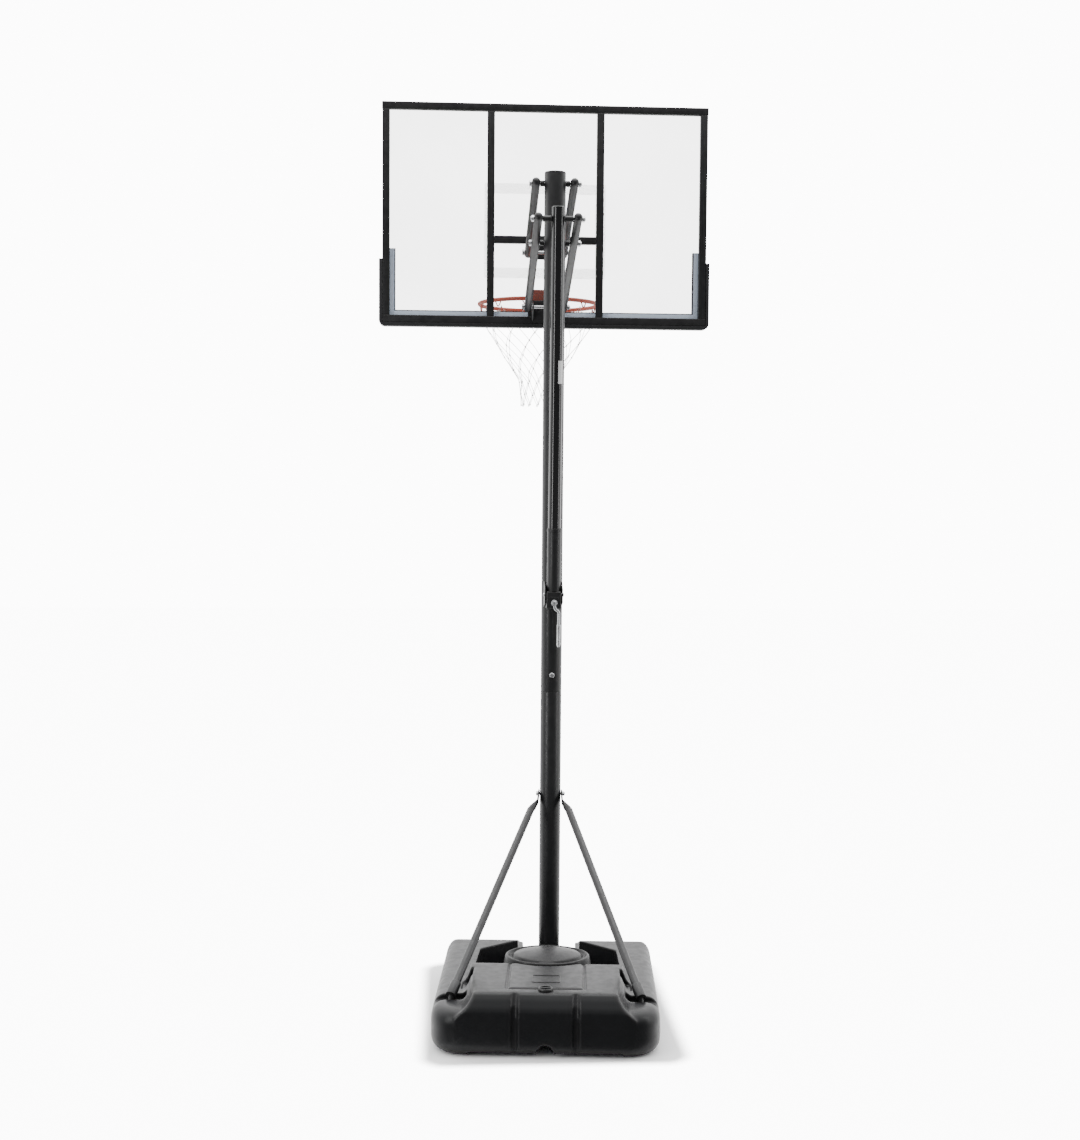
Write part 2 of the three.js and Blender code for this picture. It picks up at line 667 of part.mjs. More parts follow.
function padOutline(side, bottom, top, corner) {
  const shape = new THREE.Shape();
  shape.moveTo(-side, top);
  shape.lineTo(-side, bottom + corner);
  shape.absarc(-side + corner, bottom + corner, corner, Math.PI, 1.5 * Math.PI);
  shape.lineTo(side - corner, bottom);
  shape.absarc(side - corner, bottom + corner, corner, -Math.PI / 2, 0);
  shape.lineTo(side, top);
  return shape;
}

function edgePad() {
  const low = BOARD_BOTTOM - PAD_SIDE - 2;
  const front = BOARD_FRONT + GAP;
  return carve(
    alongY(padOutline(BOARD_HALF + PAD_SIDE, low, FLANGE_TOP, 22), BOARD_BACK - 2, front + PAD_FRONT),
    block([-BOARD_HALF - GAP, BOARD_HALF + GAP], [BOARD_BACK - 3, front], [BOARD_BOTTOM - GAP, FLANGE_TOP + 1]),
    block([PAD_LIP - BOARD_HALF, BOARD_HALF - PAD_LIP], [front - 1, front + PAD_FRONT + 1],
      [BOARD_BOTTOM + PAD_LIP, FLANGE_TOP + 1]),
    ...SIDES.map(([, side]) =>
      block(span(side, BOARD_HALF, BOARD_HALF + PAD_SIDE + 1), [BOARD_BACK - 3, front + PAD_FRONT + 1],
        [PAD_TOP, FLANGE_TOP + 1])),
  );
}

// A plate on the rail's back with two ears that the arms' front ends straddle.
function armBracket(pivotZ, plateLow, plateHigh) {
  const back = BOARD_BACK - GAP;
  const ears = SIDES.map(([, side]) => alongX(
    outline([[BOARD_PIVOT_Y - 13, pivotZ - 13], [back - 2, plateLow], [back - 2, plateHigh],
      [BOARD_PIVOT_Y - 13, pivotZ + 13]]),
    ...span(side, 44, 49),
  ));
  return carve(
    join(block([-49, 49], [back - 4, back], [plateLow, plateHigh]), ...ears),
    rodX(PIVOT_BOLT + 0.4, -60, 60, BOARD_PIVOT_Y, pivotZ),
  );
}

// The lower bracket also turns forward, under the rim's bolts, to back the panel.
function lowerBracket() {
  const back = BOARD_BACK - GAP;
  const low = BOARD_BOTTOM + RAIL + 1;
  const high = RIM_Z - 30;
  const holes = SIDES.map(([, side]) =>
    rodY(4.4, side * RIM_BOLT_X, back - 10, PANEL_BACK, RIM_BOLT_Z, 12));
  return carve(
    join(
      armBracket(LOWER_PIVOT_Z + ARM_DROP, BOARD_BOTTOM + 4, high),
      block([-62, 62], [back - 1, PANEL_BACK - GAP], [high - 4, high]),
      block([-62, 62], [PANEL_BACK - GAP - 4, PANEL_BACK - GAP], [low, high]),
    ),
    ...holes,
  );
}

add('frame_top', railAlongX(-BOARD_HALF, BOARD_HALF, BOARD_TOP - RAIL / 2), blackPaint);
add('frame_bottom', railAlongX(-BOARD_HALF, BOARD_HALF, BOARD_BOTTOM + RAIL / 2), blackPaint);
add('mid_rail', railAlongX(-MULLION_X + RAIL / 2 + GAP, MULLION_X - RAIL / 2 - GAP, MID_RAIL_Z), blackPaint);
for (const [name, side] of SIDES) {
  add(`frame_${name}`, railAlongZ(side * SIDE_RAIL_X, INSIDE_LOW, INSIDE_HIGH), blackPaint);
  add(`mullion_${name}`, railAlongZ(side * MULLION_X, INSIDE_LOW, INSIDE_HIGH), blackPaint);
}
add('board_panel', panel(), clearPanel);
add('edge_pad', edgePad(), padPlastic);
add('board_bracket_upper', armBracket(UPPER_PIVOT_Z + ARM_DROP, MID_RAIL_Z - 73, MID_RAIL_Z + 14), blackPaint);
add('board_bracket_lower', lowerBracket(), blackPaint);
add('board_bolt_upper', crossBolt(PIVOT_BOLT, ARM_OUTSIDE, BOARD_PIVOT_Y, UPPER_PIVOT_Z + ARM_DROP), zinc);
add('board_bolt_lower', crossBolt(PIVOT_BOLT, ARM_OUTSIDE, BOARD_PIVOT_Y, LOWER_PIVOT_Z + ARM_DROP), zinc);

// ---- Rim and net ------------------------------------------------------------------------

const RING_RADIUS = RIM_INNER + RIM_ROD;

function hook(index) {
  const turn = (index + 0.5) * 2 * Math.PI / HOOKS;
  const spread = 16 / RING_RADIUS;
  const onRing = (angle, drop) =>
    point(RING_RADIUS * Math.cos(angle), RIM_Y + RING_RADIUS * Math.sin(angle), RIM_Z - drop);
  const tip = onRing(turn, 26);
  return [-spread, spread].map((offset) => rod(2.5, onRing(turn + offset, 4), tip, 5));
}

function rimRing() {
  const ring = new THREE.TorusGeometry(RING_RADIUS, RIM_ROD, 6, 40).translate(0, RIM_Y, RIM_Z);
  const hooks = Array.from({ length: HOOKS }, (_, index) => hook(index)).flat();
  return join(ring, ...hooks);
}

function rimBracket() {
  const face = BOARD_FRONT + GAP;
  const seat = RIM_Z + RIM_ROD + GAP;
  const top = RIM_Z + 14;
  const low = RIM_BOLT_Z - 16;
  const ringBack = RIM_Y - RING_RADIUS + 4;
  const holes = SIDES.map(([, side]) => rodY(4.4, side * RIM_BOLT_X, face - 1, face + 10, RIM_BOLT_Z, 12));
  const gussets = SIDES.map(([, side]) =>
    alongX(outline([[face, low + 2], [face + 5, low + 2], [ringBack - 40, seat + 1], [face, seat + 1]]),
      ...span(side, 56, 60)));
  return carve(
    join(
      block([-62, 62], [face, face + 5], [low, top]),
      alongZ(outline([[-62, face], [62, face], [48, ringBack], [-48, ringBack]]), seat, seat + 5),
      ...gussets,
    ),
    ...holes,
  );
}

function rimBolt(side) {
  const x = side * RIM_BOLT_X;
  const back = PANEL_BACK - GAP - 4;
  const face = BOARD_FRONT + GAP + 5;
  return join(
    rodY(4, x, back - 9, face + 4, RIM_BOLT_Z, 12),
    rodY(7.5, x, back - 7, back - GAP, RIM_BOLT_Z, 6),
    rodY(7.5, x, face + GAP, face + 5, RIM_BOLT_Z, 6),
  );
}

// A thin sleeve with the net's outer shape, open at the top and the bottom.
function net() {
  const outside = NET_SHAPE.map(([drop, radius]) => [radius, -drop]);
  const inside = NET_SHAPE.map(([drop, radius]) => [radius - NET_WALL, -drop]).reverse();
  const profile = [...outside.reverse(), ...inside.reverse(), outside[0]];
  return lathe(profile, 20).rotateX(Math.PI / 2).translate(0, RIM_Y, RIM_Z);
}

add('rim_ring', rimRing(), rimPaint);
add('rim_bracket', rimBracket(), rimPaint);
for (const [name, side] of SIDES) add(`rim_bolt_${name}`, rimBolt(side), zinc);
add('net', net(), netCord);

export default group;
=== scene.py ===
"""Looks of the portable basketball hoop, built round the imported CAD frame. Metres, +Z up.

+Y runs from the ballast tank to the court, and +X is right for someone behind the tank.
"""
import json
import math

import bmesh
import bpy
from mathutils import Matrix, Vector


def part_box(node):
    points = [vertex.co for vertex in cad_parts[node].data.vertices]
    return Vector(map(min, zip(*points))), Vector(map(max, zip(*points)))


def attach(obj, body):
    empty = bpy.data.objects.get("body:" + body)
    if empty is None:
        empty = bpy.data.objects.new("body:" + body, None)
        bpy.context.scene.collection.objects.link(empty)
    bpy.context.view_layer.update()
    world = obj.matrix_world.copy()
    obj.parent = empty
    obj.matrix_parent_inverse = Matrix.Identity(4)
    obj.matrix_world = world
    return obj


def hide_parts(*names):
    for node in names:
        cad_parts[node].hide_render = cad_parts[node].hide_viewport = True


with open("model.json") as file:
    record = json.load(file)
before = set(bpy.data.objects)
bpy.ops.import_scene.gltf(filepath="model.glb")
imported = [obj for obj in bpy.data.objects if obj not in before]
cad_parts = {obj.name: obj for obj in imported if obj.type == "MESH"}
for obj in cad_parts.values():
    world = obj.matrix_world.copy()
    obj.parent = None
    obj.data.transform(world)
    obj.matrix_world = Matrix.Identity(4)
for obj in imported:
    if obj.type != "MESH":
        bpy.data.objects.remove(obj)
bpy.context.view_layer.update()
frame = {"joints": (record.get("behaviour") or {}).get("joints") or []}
JOINTS = {joint["name"]: joint for joint in frame["joints"]}
X, Y, Z = Vector((1, 0, 0)), Vector((0, 1, 0)), Vector((0, 0, 1))
MM = 0.001
SIDES = (("left", -1), ("right", 1))


# ---- Where things are, from the frame ----

def low(node):
    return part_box(node)[0]


def high(node):
    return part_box(node)[1]


def middle(node):
    return (low(node) + high(node)) / 2


POLE = middle("pole_lower")
POLE_Y = POLE.y
POLE_RADIUS = (high("pole_lower").x - low("pole_lower").x) / 2
UPPER_PIVOT = Vector(JOINTS["upper_arm_swing"]["pos_m"])
LOWER_PIVOT = Vector(JOINTS["height_adjust"]["pos_m"])
BOARD_PIVOT = Vector(JOINTS["board_level"]["pos_m"])
ARM = BOARD_PIVOT - LOWER_PIVOT
ARM_DIR = ARM.normalized()
ARM_UP = X.cross(ARM_DIR)
ARM_X = middle("upper_arm_right").x
ARM_RADIUS = (high("upper_arm_right").x - low("upper_arm_right").x) / 2
REAR_REACH = 165 * MM
UPPER_REAR = 12 * MM
LOWER_REAR = REAR_REACH + UPPER_REAR
JACK = Vector(JOINTS["jack_tilt"]["pos_m"])
JACK_DIR = Vector(JOINTS["jack_slide"]["axis"]).normalized()
JACK_BACK = Vector(JOINTS["crank_turn"]["axis"]).normalized()
RIM = Vector((0, middle("rim_ring").y, high("rim_ring").z - 8 * MM))
RIM_ROD = 8 * MM
RIM_RADIUS = high("rim_ring").x - RIM_ROD


def jack_point(x, y, z):
    """A point in the jack's own frame, in millimetres: +Z up its axis, +Y towards the pole."""
    return JACK + (X * x - JACK_BACK * y + JACK_DIR * z) * MM


# ---- Shapes: each is (vertices, faces) ----

def merged(*shapes):
    verts, faces = [], []
    for shape_verts, shape_faces in shapes:
        start = len(verts)
        verts += shape_verts
        faces += [[i + start for i in face] for face in shape_faces]
    return verts, faces


def circle_frame(axis):
    axis = Vector(axis).normalized()
    side = axis.orthogonal().normalized()
    return axis, side, axis.cross(side)


def circle(centre, side, other, radius, count):
    """Evenly spaced points of a circle that starts on side and goes round by way of other."""
    turns = [2 * math.pi * i / count for i in range(count)]
    return [centre + (side * math.cos(turn) + other * math.sin(turn)) * radius for turn in turns]


def loft(rings, ends=True, closed=False):
    """A skin over rings with equal numbers of points, with flat ends, or open, or closed into a loop."""
    count = len(rings[0])
    verts = [point for ring in rings for point in ring]
    faces = []
    for k in range(len(rings) if closed else len(rings) - 1):
        a, b = k * count, (k + 1) % len(rings) * count
        for i in range(count):
            j = (i + 1) % count
            faces.append([a + i, a + j, b + j, b + i])
    if ends and not closed:
        faces += [list(range(count)), list(range(len(verts) - count, len(verts)))]
    return verts, faces


def turned(profile, origin, axis, segments=64):
    """A surface of revolution. Profile rows are (radius, distance along the axis)."""
    axis, side, other = circle_frame(axis)
    return loft([circle(Vector(origin) + axis * along, side, other, radius, segments)
                 for radius, along in profile], ends=False)


def arc(centre, radius, start, steps=3):
    """The points of a quarter circle. It starts that many right angles round from the first axis."""
    turns = [math.pi / 2 * (start + i / steps) for i in range(steps + 1)]
    return [(centre[0] + radius * math.cos(turn), centre[1] + radius * math.sin(turn)) for turn in turns]


def ring_profile(inner, outer, start, end, lip=MM):
    """The closed profile of a tube whose four edges are rounded."""
    near, far, low_end, high_end = inner + lip, outer - lip, start + lip, end - lip
    corners = ((far, low_end), (far, high_end), (near, high_end), (near, low_end))
    points = [point for i, corner in enumerate(corners) for point in arc(corner, lip, i - 1)]
    return points + points[:1]


def solid_profile(radius, start, end, lip=MM):
    """A plain rod's profile, from the axis and back, with its two edges rounded."""
    edge = radius - lip
    return [(0, start), *arc((edge, start + lip), lip, -1), *arc((edge, end - lip), lip, 0), (0, end)]


def in_mm(rows):
    """A profile or outline given in millimetres, in metres."""
    return [(a * MM, b * MM) for a, b in rows]


def span(side, near, far):
    """The two coordinates of a slice on one side of the middle plane, lower first."""
    return sorted((side * near, side * far))


def tube(inner, outer, a, b, lip=0.6 * MM, segments=64):
    a, b = Vector(a), Vector(b)
    return turned(ring_profile(inner, outer, 0, (b - a).length, lip), a, b - a, segments)


def rod(radius, a, b, lip=0.8 * MM, segments=40):
    a, b = Vector(a), Vector(b)
    return turned(solid_profile(radius, 0, (b - a).length, lip), a, b - a, segments)


def rounded(shape, radius, steps=3, least_angle=40):
    """The shape with every edge sharper than least_angle rounded."""
    bm = bmesh.new()
    verts = [bm.verts.new(v) for v in shape[0]]
    for face in shape[1]:
        bm.faces.new([verts[i] for i in face])
    bmesh.ops.remove_doubles(bm, verts=bm.verts, dist=1e-6)
    bmesh.ops.recalc_face_normals(bm, faces=bm.faces)
    sharp = [e for e in bm.edges if e.is_manifold and e.calc_face_angle(0) > math.radians(least_angle)]
    bmesh.ops.bevel(bm, geom=sharp, offset=radius, offset_type="OFFSET", segments=steps, profile=0.5,
                    affect="EDGES", clamp_overlap=True)
    bm.verts.index_update()
    shape = [v.co.copy() for v in bm.verts], [[v.index for v in f.verts] for f in bm.faces]
    bm.free()
    return shape


def prism(outline, axis, start, end):
    """An outline extruded along 0 (X), 1 (Y) or 2 (Z). Its points are the other two coordinates, in order."""
    def at(u, v, w):
        return Vector({0: (w, u, v), 1: (u, w, v), 2: (u, v, w)}[axis])
    return loft([[at(u, v, w) for u, v in outline] for w in (start, end)])


def box(lo, hi):
    return prism([(lo[0], lo[1]), (hi[0], lo[1]), (hi[0], hi[1]), (lo[0], hi[1])], 2, lo[2], hi[2])


def soft_box(lo, hi, radius=2 * MM, steps=3):
    return rounded(box(lo, hi), radius, steps)


def sweep(path, radius, sides=16, closed=False):
    """A round rod along a path of points, its radius fixed or one for each point."""
    path = [Vector(p) for p in path]
    count = len(path)
    radii = radius if isinstance(radius, (list, tuple)) else [radius] * count
    rings = []
    side = None
    for k, point in enumerate(path):
        if closed:
            along = (path[(k + 1) % count] - path[k - 1]).normalized()
        else:
            along = (path[min(k + 1, count - 1)] - path[max(k - 1, 0)]).normalized()
        side = along.orthogonal() if side is None else side - along * side.dot(along)
        side.normalize()
        rings.append(circle(point, side, along.cross(side), radii[k], sides))
    return loft(rings, closed=closed)


def bend(corners, radius, steps=6):
    """A path through corners, each inner corner turned into an arc-like curve of about that radius."""
    corners = [Vector(c) for c in corners]
    path = [corners[0]]
    for before, corner, after in zip(corners, corners[1:], corners[2:]):
        start = corner + (before - corner).normalized() * radius
        end = corner + (after - corner).normalized() * radius
        for step in range(steps + 1):
            t = step / steps
            path.append(start * (1 - t) ** 2 + corner * 2 * t * (1 - t) + end * t ** 2)
    return path + [corners[-1]]


def hexagon(centre, axis, across, height, chamfer=MM):
    """A hexagon head or nut standing on centre, its outer corners chamfered."""
    axis, side, other = circle_frame(axis)
    radius = across / math.sqrt(3)
    levels = ((0, radius), (height - chamfer, radius), (height, radius - chamfer))
    return loft([circle(Vector(centre) + axis * along, side, other, size, 6) for along, size in levels])


def bolt(a, b, radius, head=True, unit=MM):
    """A bolt from under its head at a to its nut's seat at b, with washers and a short threaded end."""
    a, b = Vector(a), Vector(b)
    along = (b - a).normalized()
    thick = 1.2 * unit
    end = b + along * (radius * 1.6 + thick)
    shapes = [turned(solid_profile(radius, 0, (end - a).length, 0.8 * unit), a, along, 32)]
    for on, seat, out in ((head, a, -along), (True, b, along)):
        if on:
            shapes.append(turned(solid_profile(radius * 1.75, 0, thick, 0.3 * unit), seat, out, 40))
            shapes.append(hexagon(seat + out * thick, out, radius * 3, radius * 1.15, unit))
    return merged(*shapes)


# ---- Materials ----

PANEL_HAZE = 0.36
PANEL_TINT_DARK = (0.105, 0.100, 0.098)
PANEL_TINT_LIGHT = (0.135, 0.130, 0.128)


class Nodes:
    """The node tree of a material or a world, with short calls for the few nodes that they share."""

    def __init__(self, owner):
        owner.use_nodes = True
        self.owner = owner
        self.tree = owner.node_tree
        self.shader = self.tree.nodes.get("Principled BSDF")
        self.places = self.new("TexCoord").outputs
        self.place = self.places["Object"]

    def new(self, kind):
        return self.tree.nodes.new("ShaderNode" + kind)

    def link(self, value, socket):
        """Feeds a socket from another node's output, or sets it to a plain number."""
        if isinstance(value, (int, float)):
            socket.default_value = value
        else:
            self.tree.links.new(value, socket)

    def look(self, color, rough, normal):
        """Links the three sockets that every finish sets by nodes."""
        for name, value in (("Base Color", color), ("Roughness", rough), ("Normal", normal)):
            self.link(value, self.shader.inputs[name])

    def apart(self, vector):
        split = self.new("SeparateXYZ")
        self.link(vector, split.inputs[0])
        return split.outputs

    def noise(self, scale, detail=3, stretch=(1, 1, 1)):
        node = self.new("TexNoise")
        node.inputs["Scale"].default_value = scale
        node.inputs["Detail"].default_value = detail
        mapping = self.new("Mapping")
        mapping.inputs["Scale"].default_value = stretch
        self.link(self.place, mapping.inputs["Vector"])
        self.link(mapping.outputs["Vector"], node.inputs["Vector"])
        return node.outputs["Fac"]

    def math(self, operation, *values):
        node = self.new("Math")
        node.operation = operation
        for socket, value in zip(node.inputs, values):
            self.link(value, socket)
        return node.outputs[0]

    def spread(self, value, low_out, high_out, low_in=0.35, high_in=0.65, soft=False):
        node = self.new("MapRange")
        node.interpolation_type = "SMOOTHSTEP" if soft else "LINEAR"
        limits = {"From Min": low_in, "From Max": high_in, "To Min": low_out, "To Max": high_out}
        for name, number in limits.items():
            node.inputs[name].default_value = number
        self.link(value, node.inputs["Value"])
        return node.outputs["Result"]

    def tint(self, value, dark, light):
        node = self.new("ValToRGB")
        for element, position, color in zip(node.color_ramp.elements, (0.3, 0.7), (dark, light)):
            element.position = position
            element.color = (*color, 1)
        self.link(value, node.inputs["Fac"])
        return node.outputs["Color"]

    def bump(self, height, strength, distance, under=None):
        node = self.new("Bump")
        node.inputs["Strength"].default_value = strength
        node.inputs["Distance"].default_value = distance
        self.link(height, node.inputs["Height"])
        if under is not None:
            self.link(under, node.inputs["Normal"])
        return node.outputs["Normal"]

    def set(self, **values):
        for name, value in values.items():
            self.shader.inputs[name.replace("_", " ")].default_value = value


def scaled(color, factor):
    return tuple(min(1, c * factor) for c in color)


def surface(name, color, rough, metal=0.0, grain=900, grain_depth=0.05, vary=0.15, patch=9, stretch=(1, 1, 1),
            rough_spread=0.06, specular=0.5, coat=0.0, alpha=1.0):
    """A finish with cloudy colour and roughness, and a fine grain in its bump."""
    n = Nodes(bpy.data.materials.new(name))
    n.set(Metallic=metal, Specular_IOR_Level=specular, Coat_Weight=coat, Coat_Roughness=0.12, Alpha=alpha)
    cloud = n.noise(patch, 4, stretch)
    tinted = n.tint(cloud, scaled(color, 1 - vary), scaled(color, 1 + vary))
    patchy = n.spread(n.noise(patch * 6, 4, stretch), rough - rough_spread, rough + rough_spread)
    fine = n.bump(n.noise(grain, 2, stretch), grain_depth, 0.001)
    n.look(tinted, patchy, n.bump(cloud, grain_depth / 2, 0.004, fine))
    return n.owner


def clear_panel():
    """Clear plastic with a faint milky haze that is uneven, as film residue and fine scuffs make it."""
    n = Nodes(bpy.data.materials.new("polycarbonate"))
    n.set(Specular_IOR_Level=0.4, IOR=1.45)
    haze = n.noise(2.2, 3)
    n.link(n.spread(haze, PANEL_HAZE - 0.015, PANEL_HAZE + 0.015), n.shader.inputs["Alpha"])
    scuffs = n.spread(n.noise(60, 4, (1, 1, 0.15)), 0.16, 0.24)
    n.look(n.tint(haze, PANEL_TINT_DARK, PANEL_TINT_LIGHT), scuffs, n.bump(n.noise(14, 2), 0.02, 0.001))
    return n.owner


PAINT = surface("satin_black_paint", (0.013, 0.013, 0.014), 0.38, grain=1400, grain_depth=0.03, vary=0.12)
GLOSS = surface("gloss_black_paint", (0.010, 0.010, 0.011), 0.14, grain=700, grain_depth=0.01, vary=0.1,
                rough_spread=0.03, coat=0.3)
ZINC = surface("bright_zinc", (0.60, 0.61, 0.62), 0.30, metal=1.0, grain=500, grain_depth=0.10, vary=0.10,
               patch=60)
TANK = surface("tank_polyethylene", (0.009, 0.009, 0.010), 0.34, grain=520, grain_depth=0.06, vary=0.14,
               patch=7, rough_spread=0.05, specular=0.28)
MOULDED = surface("moulded_black", (0.010, 0.010, 0.011), 0.42, grain=800, grain_depth=0.12, vary=0.12)
WHEEL = surface("wheel_plastic", (0.014, 0.014, 0.015), 0.58, grain=600, grain_depth=0.2, vary=0.2, patch=30)
PAD = surface("edge_pad_plastic", (0.013, 0.013, 0.015), 0.50, grain=700, grain_depth=0.2, vary=0.1)
# Painted light: a pale blue-grey that stands in for the lit look of the black edge pad's flange seen through
# the panel.
PAD_PAINTED_LIGHT = surface("pad_painted_light", (0.68, 0.78, 0.92), 0.55, grain=500, grain_depth=0.05, vary=0.06, patch=5)
PANEL = clear_panel()
PRINT_WHITE = surface("thin_white_print", (0.90, 0.90, 0.93), 0.45, grain=900, grain_depth=0.03, vary=0.03,
                      alpha=0.18)
RIM_RED = surface("rim_powder_coat", (0.86, 0.105, 0.034), 0.36, grain=1200, grain_depth=0.08, vary=0.08)
CORD = surface("net_cord", (0.86, 0.86, 0.85), 0.85, grain=900, grain_depth=0.3, vary=0.04, patch=40,
               specular=0.2, alpha=0.6)
STICKER = surface("plain_label", (0.80, 0.80, 0.80), 0.45, grain=600, grain_depth=0.04, vary=0.04)


# ---- Pieces ----

def link_mesh(name, shape):
    mesh = bpy.data.meshes.new(name)
    mesh.from_pydata([tuple(v) for v in shape[0]], [], shape[1])
    obj = bpy.data.objects.new(name, mesh)
    bpy.context.scene.collection.objects.link(obj)
    return obj


def tidy_mesh(obj, smooth_angle=38, least=1e-6):
    bm = bmesh.new()
    bm.from_mesh(obj.data)
    bmesh.ops.remove_doubles(bm, verts=bm.verts, dist=least)
    bmesh.ops.dissolve_degenerate(bm, edges=bm.edges, dist=least / 10)
    bmesh.ops.recalc_face_normals(bm, faces=bm.faces)
    bm.to_mesh(obj.data)
    bm.free()
    obj.data.shade_smooth()
    obj.data.set_sharp_from_angle(angle=math.radians(smooth_angle))


def piece(name, shape, material, body, *replaces, smooth_angle=38):
    """A new object with a shape and a finish, which rides on a body and may stand for CAD nodes."""
    obj = link_mesh(name, shape)
    tidy_mesh(obj, smooth_angle)
    dress(obj, material, body, *replaces)


def dress(obj, material, body, *replaces):
    obj.data.materials.clear()
    obj.data.materials.append(material)
    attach(obj, body)
    if replaces:
        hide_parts(*replaces)


def baked(obj):
    """The object with its modifiers made real."""
    bpy.context.view_layer.update()
    shown = obj.evaluated_get(bpy.context.evaluated_depsgraph_get())
    mesh = bpy.data.meshes.new_from_object(shown)
    obj.modifiers.clear()
    old, obj.data = obj.data, mesh
    bpy.data.meshes.remove(old)
    return obj


def cut(obj, *tools):
    for shape in tools:
        tool = link_mesh("cutter", shape)
        tidy_mesh(tool)
        modifier = obj.modifiers.new("cut", "BOOLEAN")
        modifier.operation = "DIFFERENCE"
        modifier.solver = "EXACT"
        modifier.object = tool
        baked(obj)
        bpy.data.objects.remove(tool)
    return obj


def remeshed(obj, voxel, smoothing):
    """One skin over the overlapping solids, its creases softened as blow moulding leaves them."""
    remesh = obj.modifiers.new("skin", "REMESH")
    remesh.mode = "VOXEL"
    remesh.voxel_size = voxel
    smooth = obj.modifiers.new("soften", "SMOOTH")
    smooth.factor = 0.5
    smooth.iterations = smoothing
    return baked(obj)


# ---- Ballast tank ----

# The tank and what it carries are turned about the pole, which is clocked in its seat. Everything in
# this section is made in the tank's own frame, in millimetres from the pole's foot, and then turned.
BASE_TURN = math.radians(-4.6)
TO_WORLD = Matrix.Translation((0, POLE_Y, 0)) @ Matrix.Rotation(BASE_TURN, 4, "Z") @ Matrix.Scale(MM, 4)
BASE_HALF = 345
BASE_REAR = -822
BASE_FRONT = 35
SHOULDER = 136
DECK_TOP = 185
DECK_REAR = -783
DECK_FRONT = -500
DOME_Y = -420
DOME_RADIUS = 116
DOME_RISE = 16
COLLAR = 134
COLLAR_FOOT = 146
COLLAR_DEPTH = 100
RING_FLOOR = 152
RUNNER_INNER = 230
RECESS = 14
SLOT_HALF = 90
SEAT_HALF = 42
SEAT_TOP = 16
AXLE_Z = 40
STRUT_FOOT = Vector((284, -680, 150))
STRUT_RADIUS = 12.5
STRUT_TOP = Vector((50.2, -25, 605))
STRUT_BOLT_Z = 619
TONGUE_THICK = 2.6
TONGUE_HALF = 14.5
GROOVE_FLOOR = 114
CAP = Vector((0, -755, DECK_TOP))


def on_base(shape):
    return [TO_WORLD @ Vector(v) for v in shape[0]], shape[1]


def plan_outline(inset, rear_round, front_round, steps=10):
    """The tank's plan with four round corners, drawn in by inset."""
    half, rear, front = BASE_HALF - inset, BASE_REAR + inset, BASE_FRONT - inset
    corners = [(half, rear, rear_round, -1), (half, front, front_round, 0),
               (-half, front, front_round, 1), (-half, rear, rear_round, 2)]
    points = []
    for x, y, radius, start in corners:
        radius -= inset
        centre = (x - math.copysign(radius, x), y + (radius if y == rear else -radius))
        points += arc(centre, radius, start, steps)
    return points


def slab_shape():
    """The low body: a plan outline whose upper and lower edges roll in."""
    roll_low, roll_high, steps = 36, 42, 8
    lower = arc((roll_low, roll_low), roll_low, 2, steps)[::-1]
    upper = arc((roll_high, SHOULDER - roll_high), roll_high, 1, steps)[::-1]
    return loft([[Vector((x, y, z)) for x, y in plan_outline(inset, 100, 150)] for inset, z in lower + upper])


def deck_shape():
    """The raised deck: its rear wall is flush with the body's and its sides sweep out to the shoulders."""
    levels = [(45, 272, 272, BASE_REAR + 1), (116, 271, 271, BASE_REAR + 2), (134, 250, 262, BASE_REAR + 5),
              (150, 232, 251, BASE_REAR + 12), (170, 219, 243.5, DECK_REAR - 14),
              (DECK_TOP, 213, 240, DECK_REAR)]
    rings = []
    for z, rear_half, front_half, rear in levels:
        front = DECK_FRONT + (DECK_TOP - z) * 0.12
        rings.append([Vector((-rear_half, rear, z)), Vector((rear_half, rear, z)),
                      Vector((front_half, front, z)), Vector((-front_half, front, z))])
    return rounded(loft(rings), 7, 3)


def oval(shape):
    """A shape turned about the dome's axis, drawn in along Y to the dome's oval plan."""
    points, faces = shape
    return [Vector((v.x, DOME_Y + (v.y - DOME_Y) * COLLAR_DEPTH / COLLAR, v.z)) for v in points], faces


def dome_shape():
    """A shallow dome in a raised collar, with a sunk ring between them."""
    bulge = (DOME_RADIUS ** 2 + DOME_RISE ** 2) / (2 * DOME_RISE)
    top = DECK_TOP + 2 + DOME_RISE
    profile = [(0, 40), (COLLAR_FOOT, 40), (COLLAR_FOOT, 125), (COLLAR_FOOT - 3, 145), (COLLAR, DECK_TOP),
               (COLLAR - 4, DECK_TOP + 4), (COLLAR - 9, DECK_TOP + 4),
               (DOME_RADIUS + 4, DECK_TOP - 7), (DOME_RADIUS - 2, DECK_TOP - 7)]
    for i in range(9, -1, -1):
        radius = DOME_RADIUS * i / 10
        profile.append((radius, top - bulge + math.sqrt(bulge ** 2 - radius ** 2)))
    return oval(turned(profile, (0, DOME_Y, 0), Z, 96))


def dome_ring():
    """The deep ring that parts the dome's collar from the deck."""
    above = DECK_TOP + 30
    inner, outer = COLLAR - 1, COLLAR + 11
    return oval(turned([(inner, RING_FLOOR), (outer - 3, RING_FLOOR), (outer, RING_FLOOR + 4), (outer, above),
                        (inner, above), (inner, RING_FLOOR)], (0, DOME_Y, 0), Z, 96))


def mirrored_prism(plan, side, start, end):
    return prism([(side * x, y) for x, y in plan], 2, start, end)


def side_box(side, near, far, rear, front, low_z, high_z):
    x0, x1 = span(side, near, far)
    return box((x0, rear, low_z), (x1, front, high_z))


def front_slope():
    """The wedge taken off above the shoulders where they fall away in front of the wells."""
    above = DECK_TOP + 60
    side = [(-110, SHOULDER + 2), (BASE_FRONT + 5, 91), (BASE_FRONT + 5, above), (-110, above)]
    return prism(side, 0, -BASE_HALF - 10, BASE_HALF + 10)


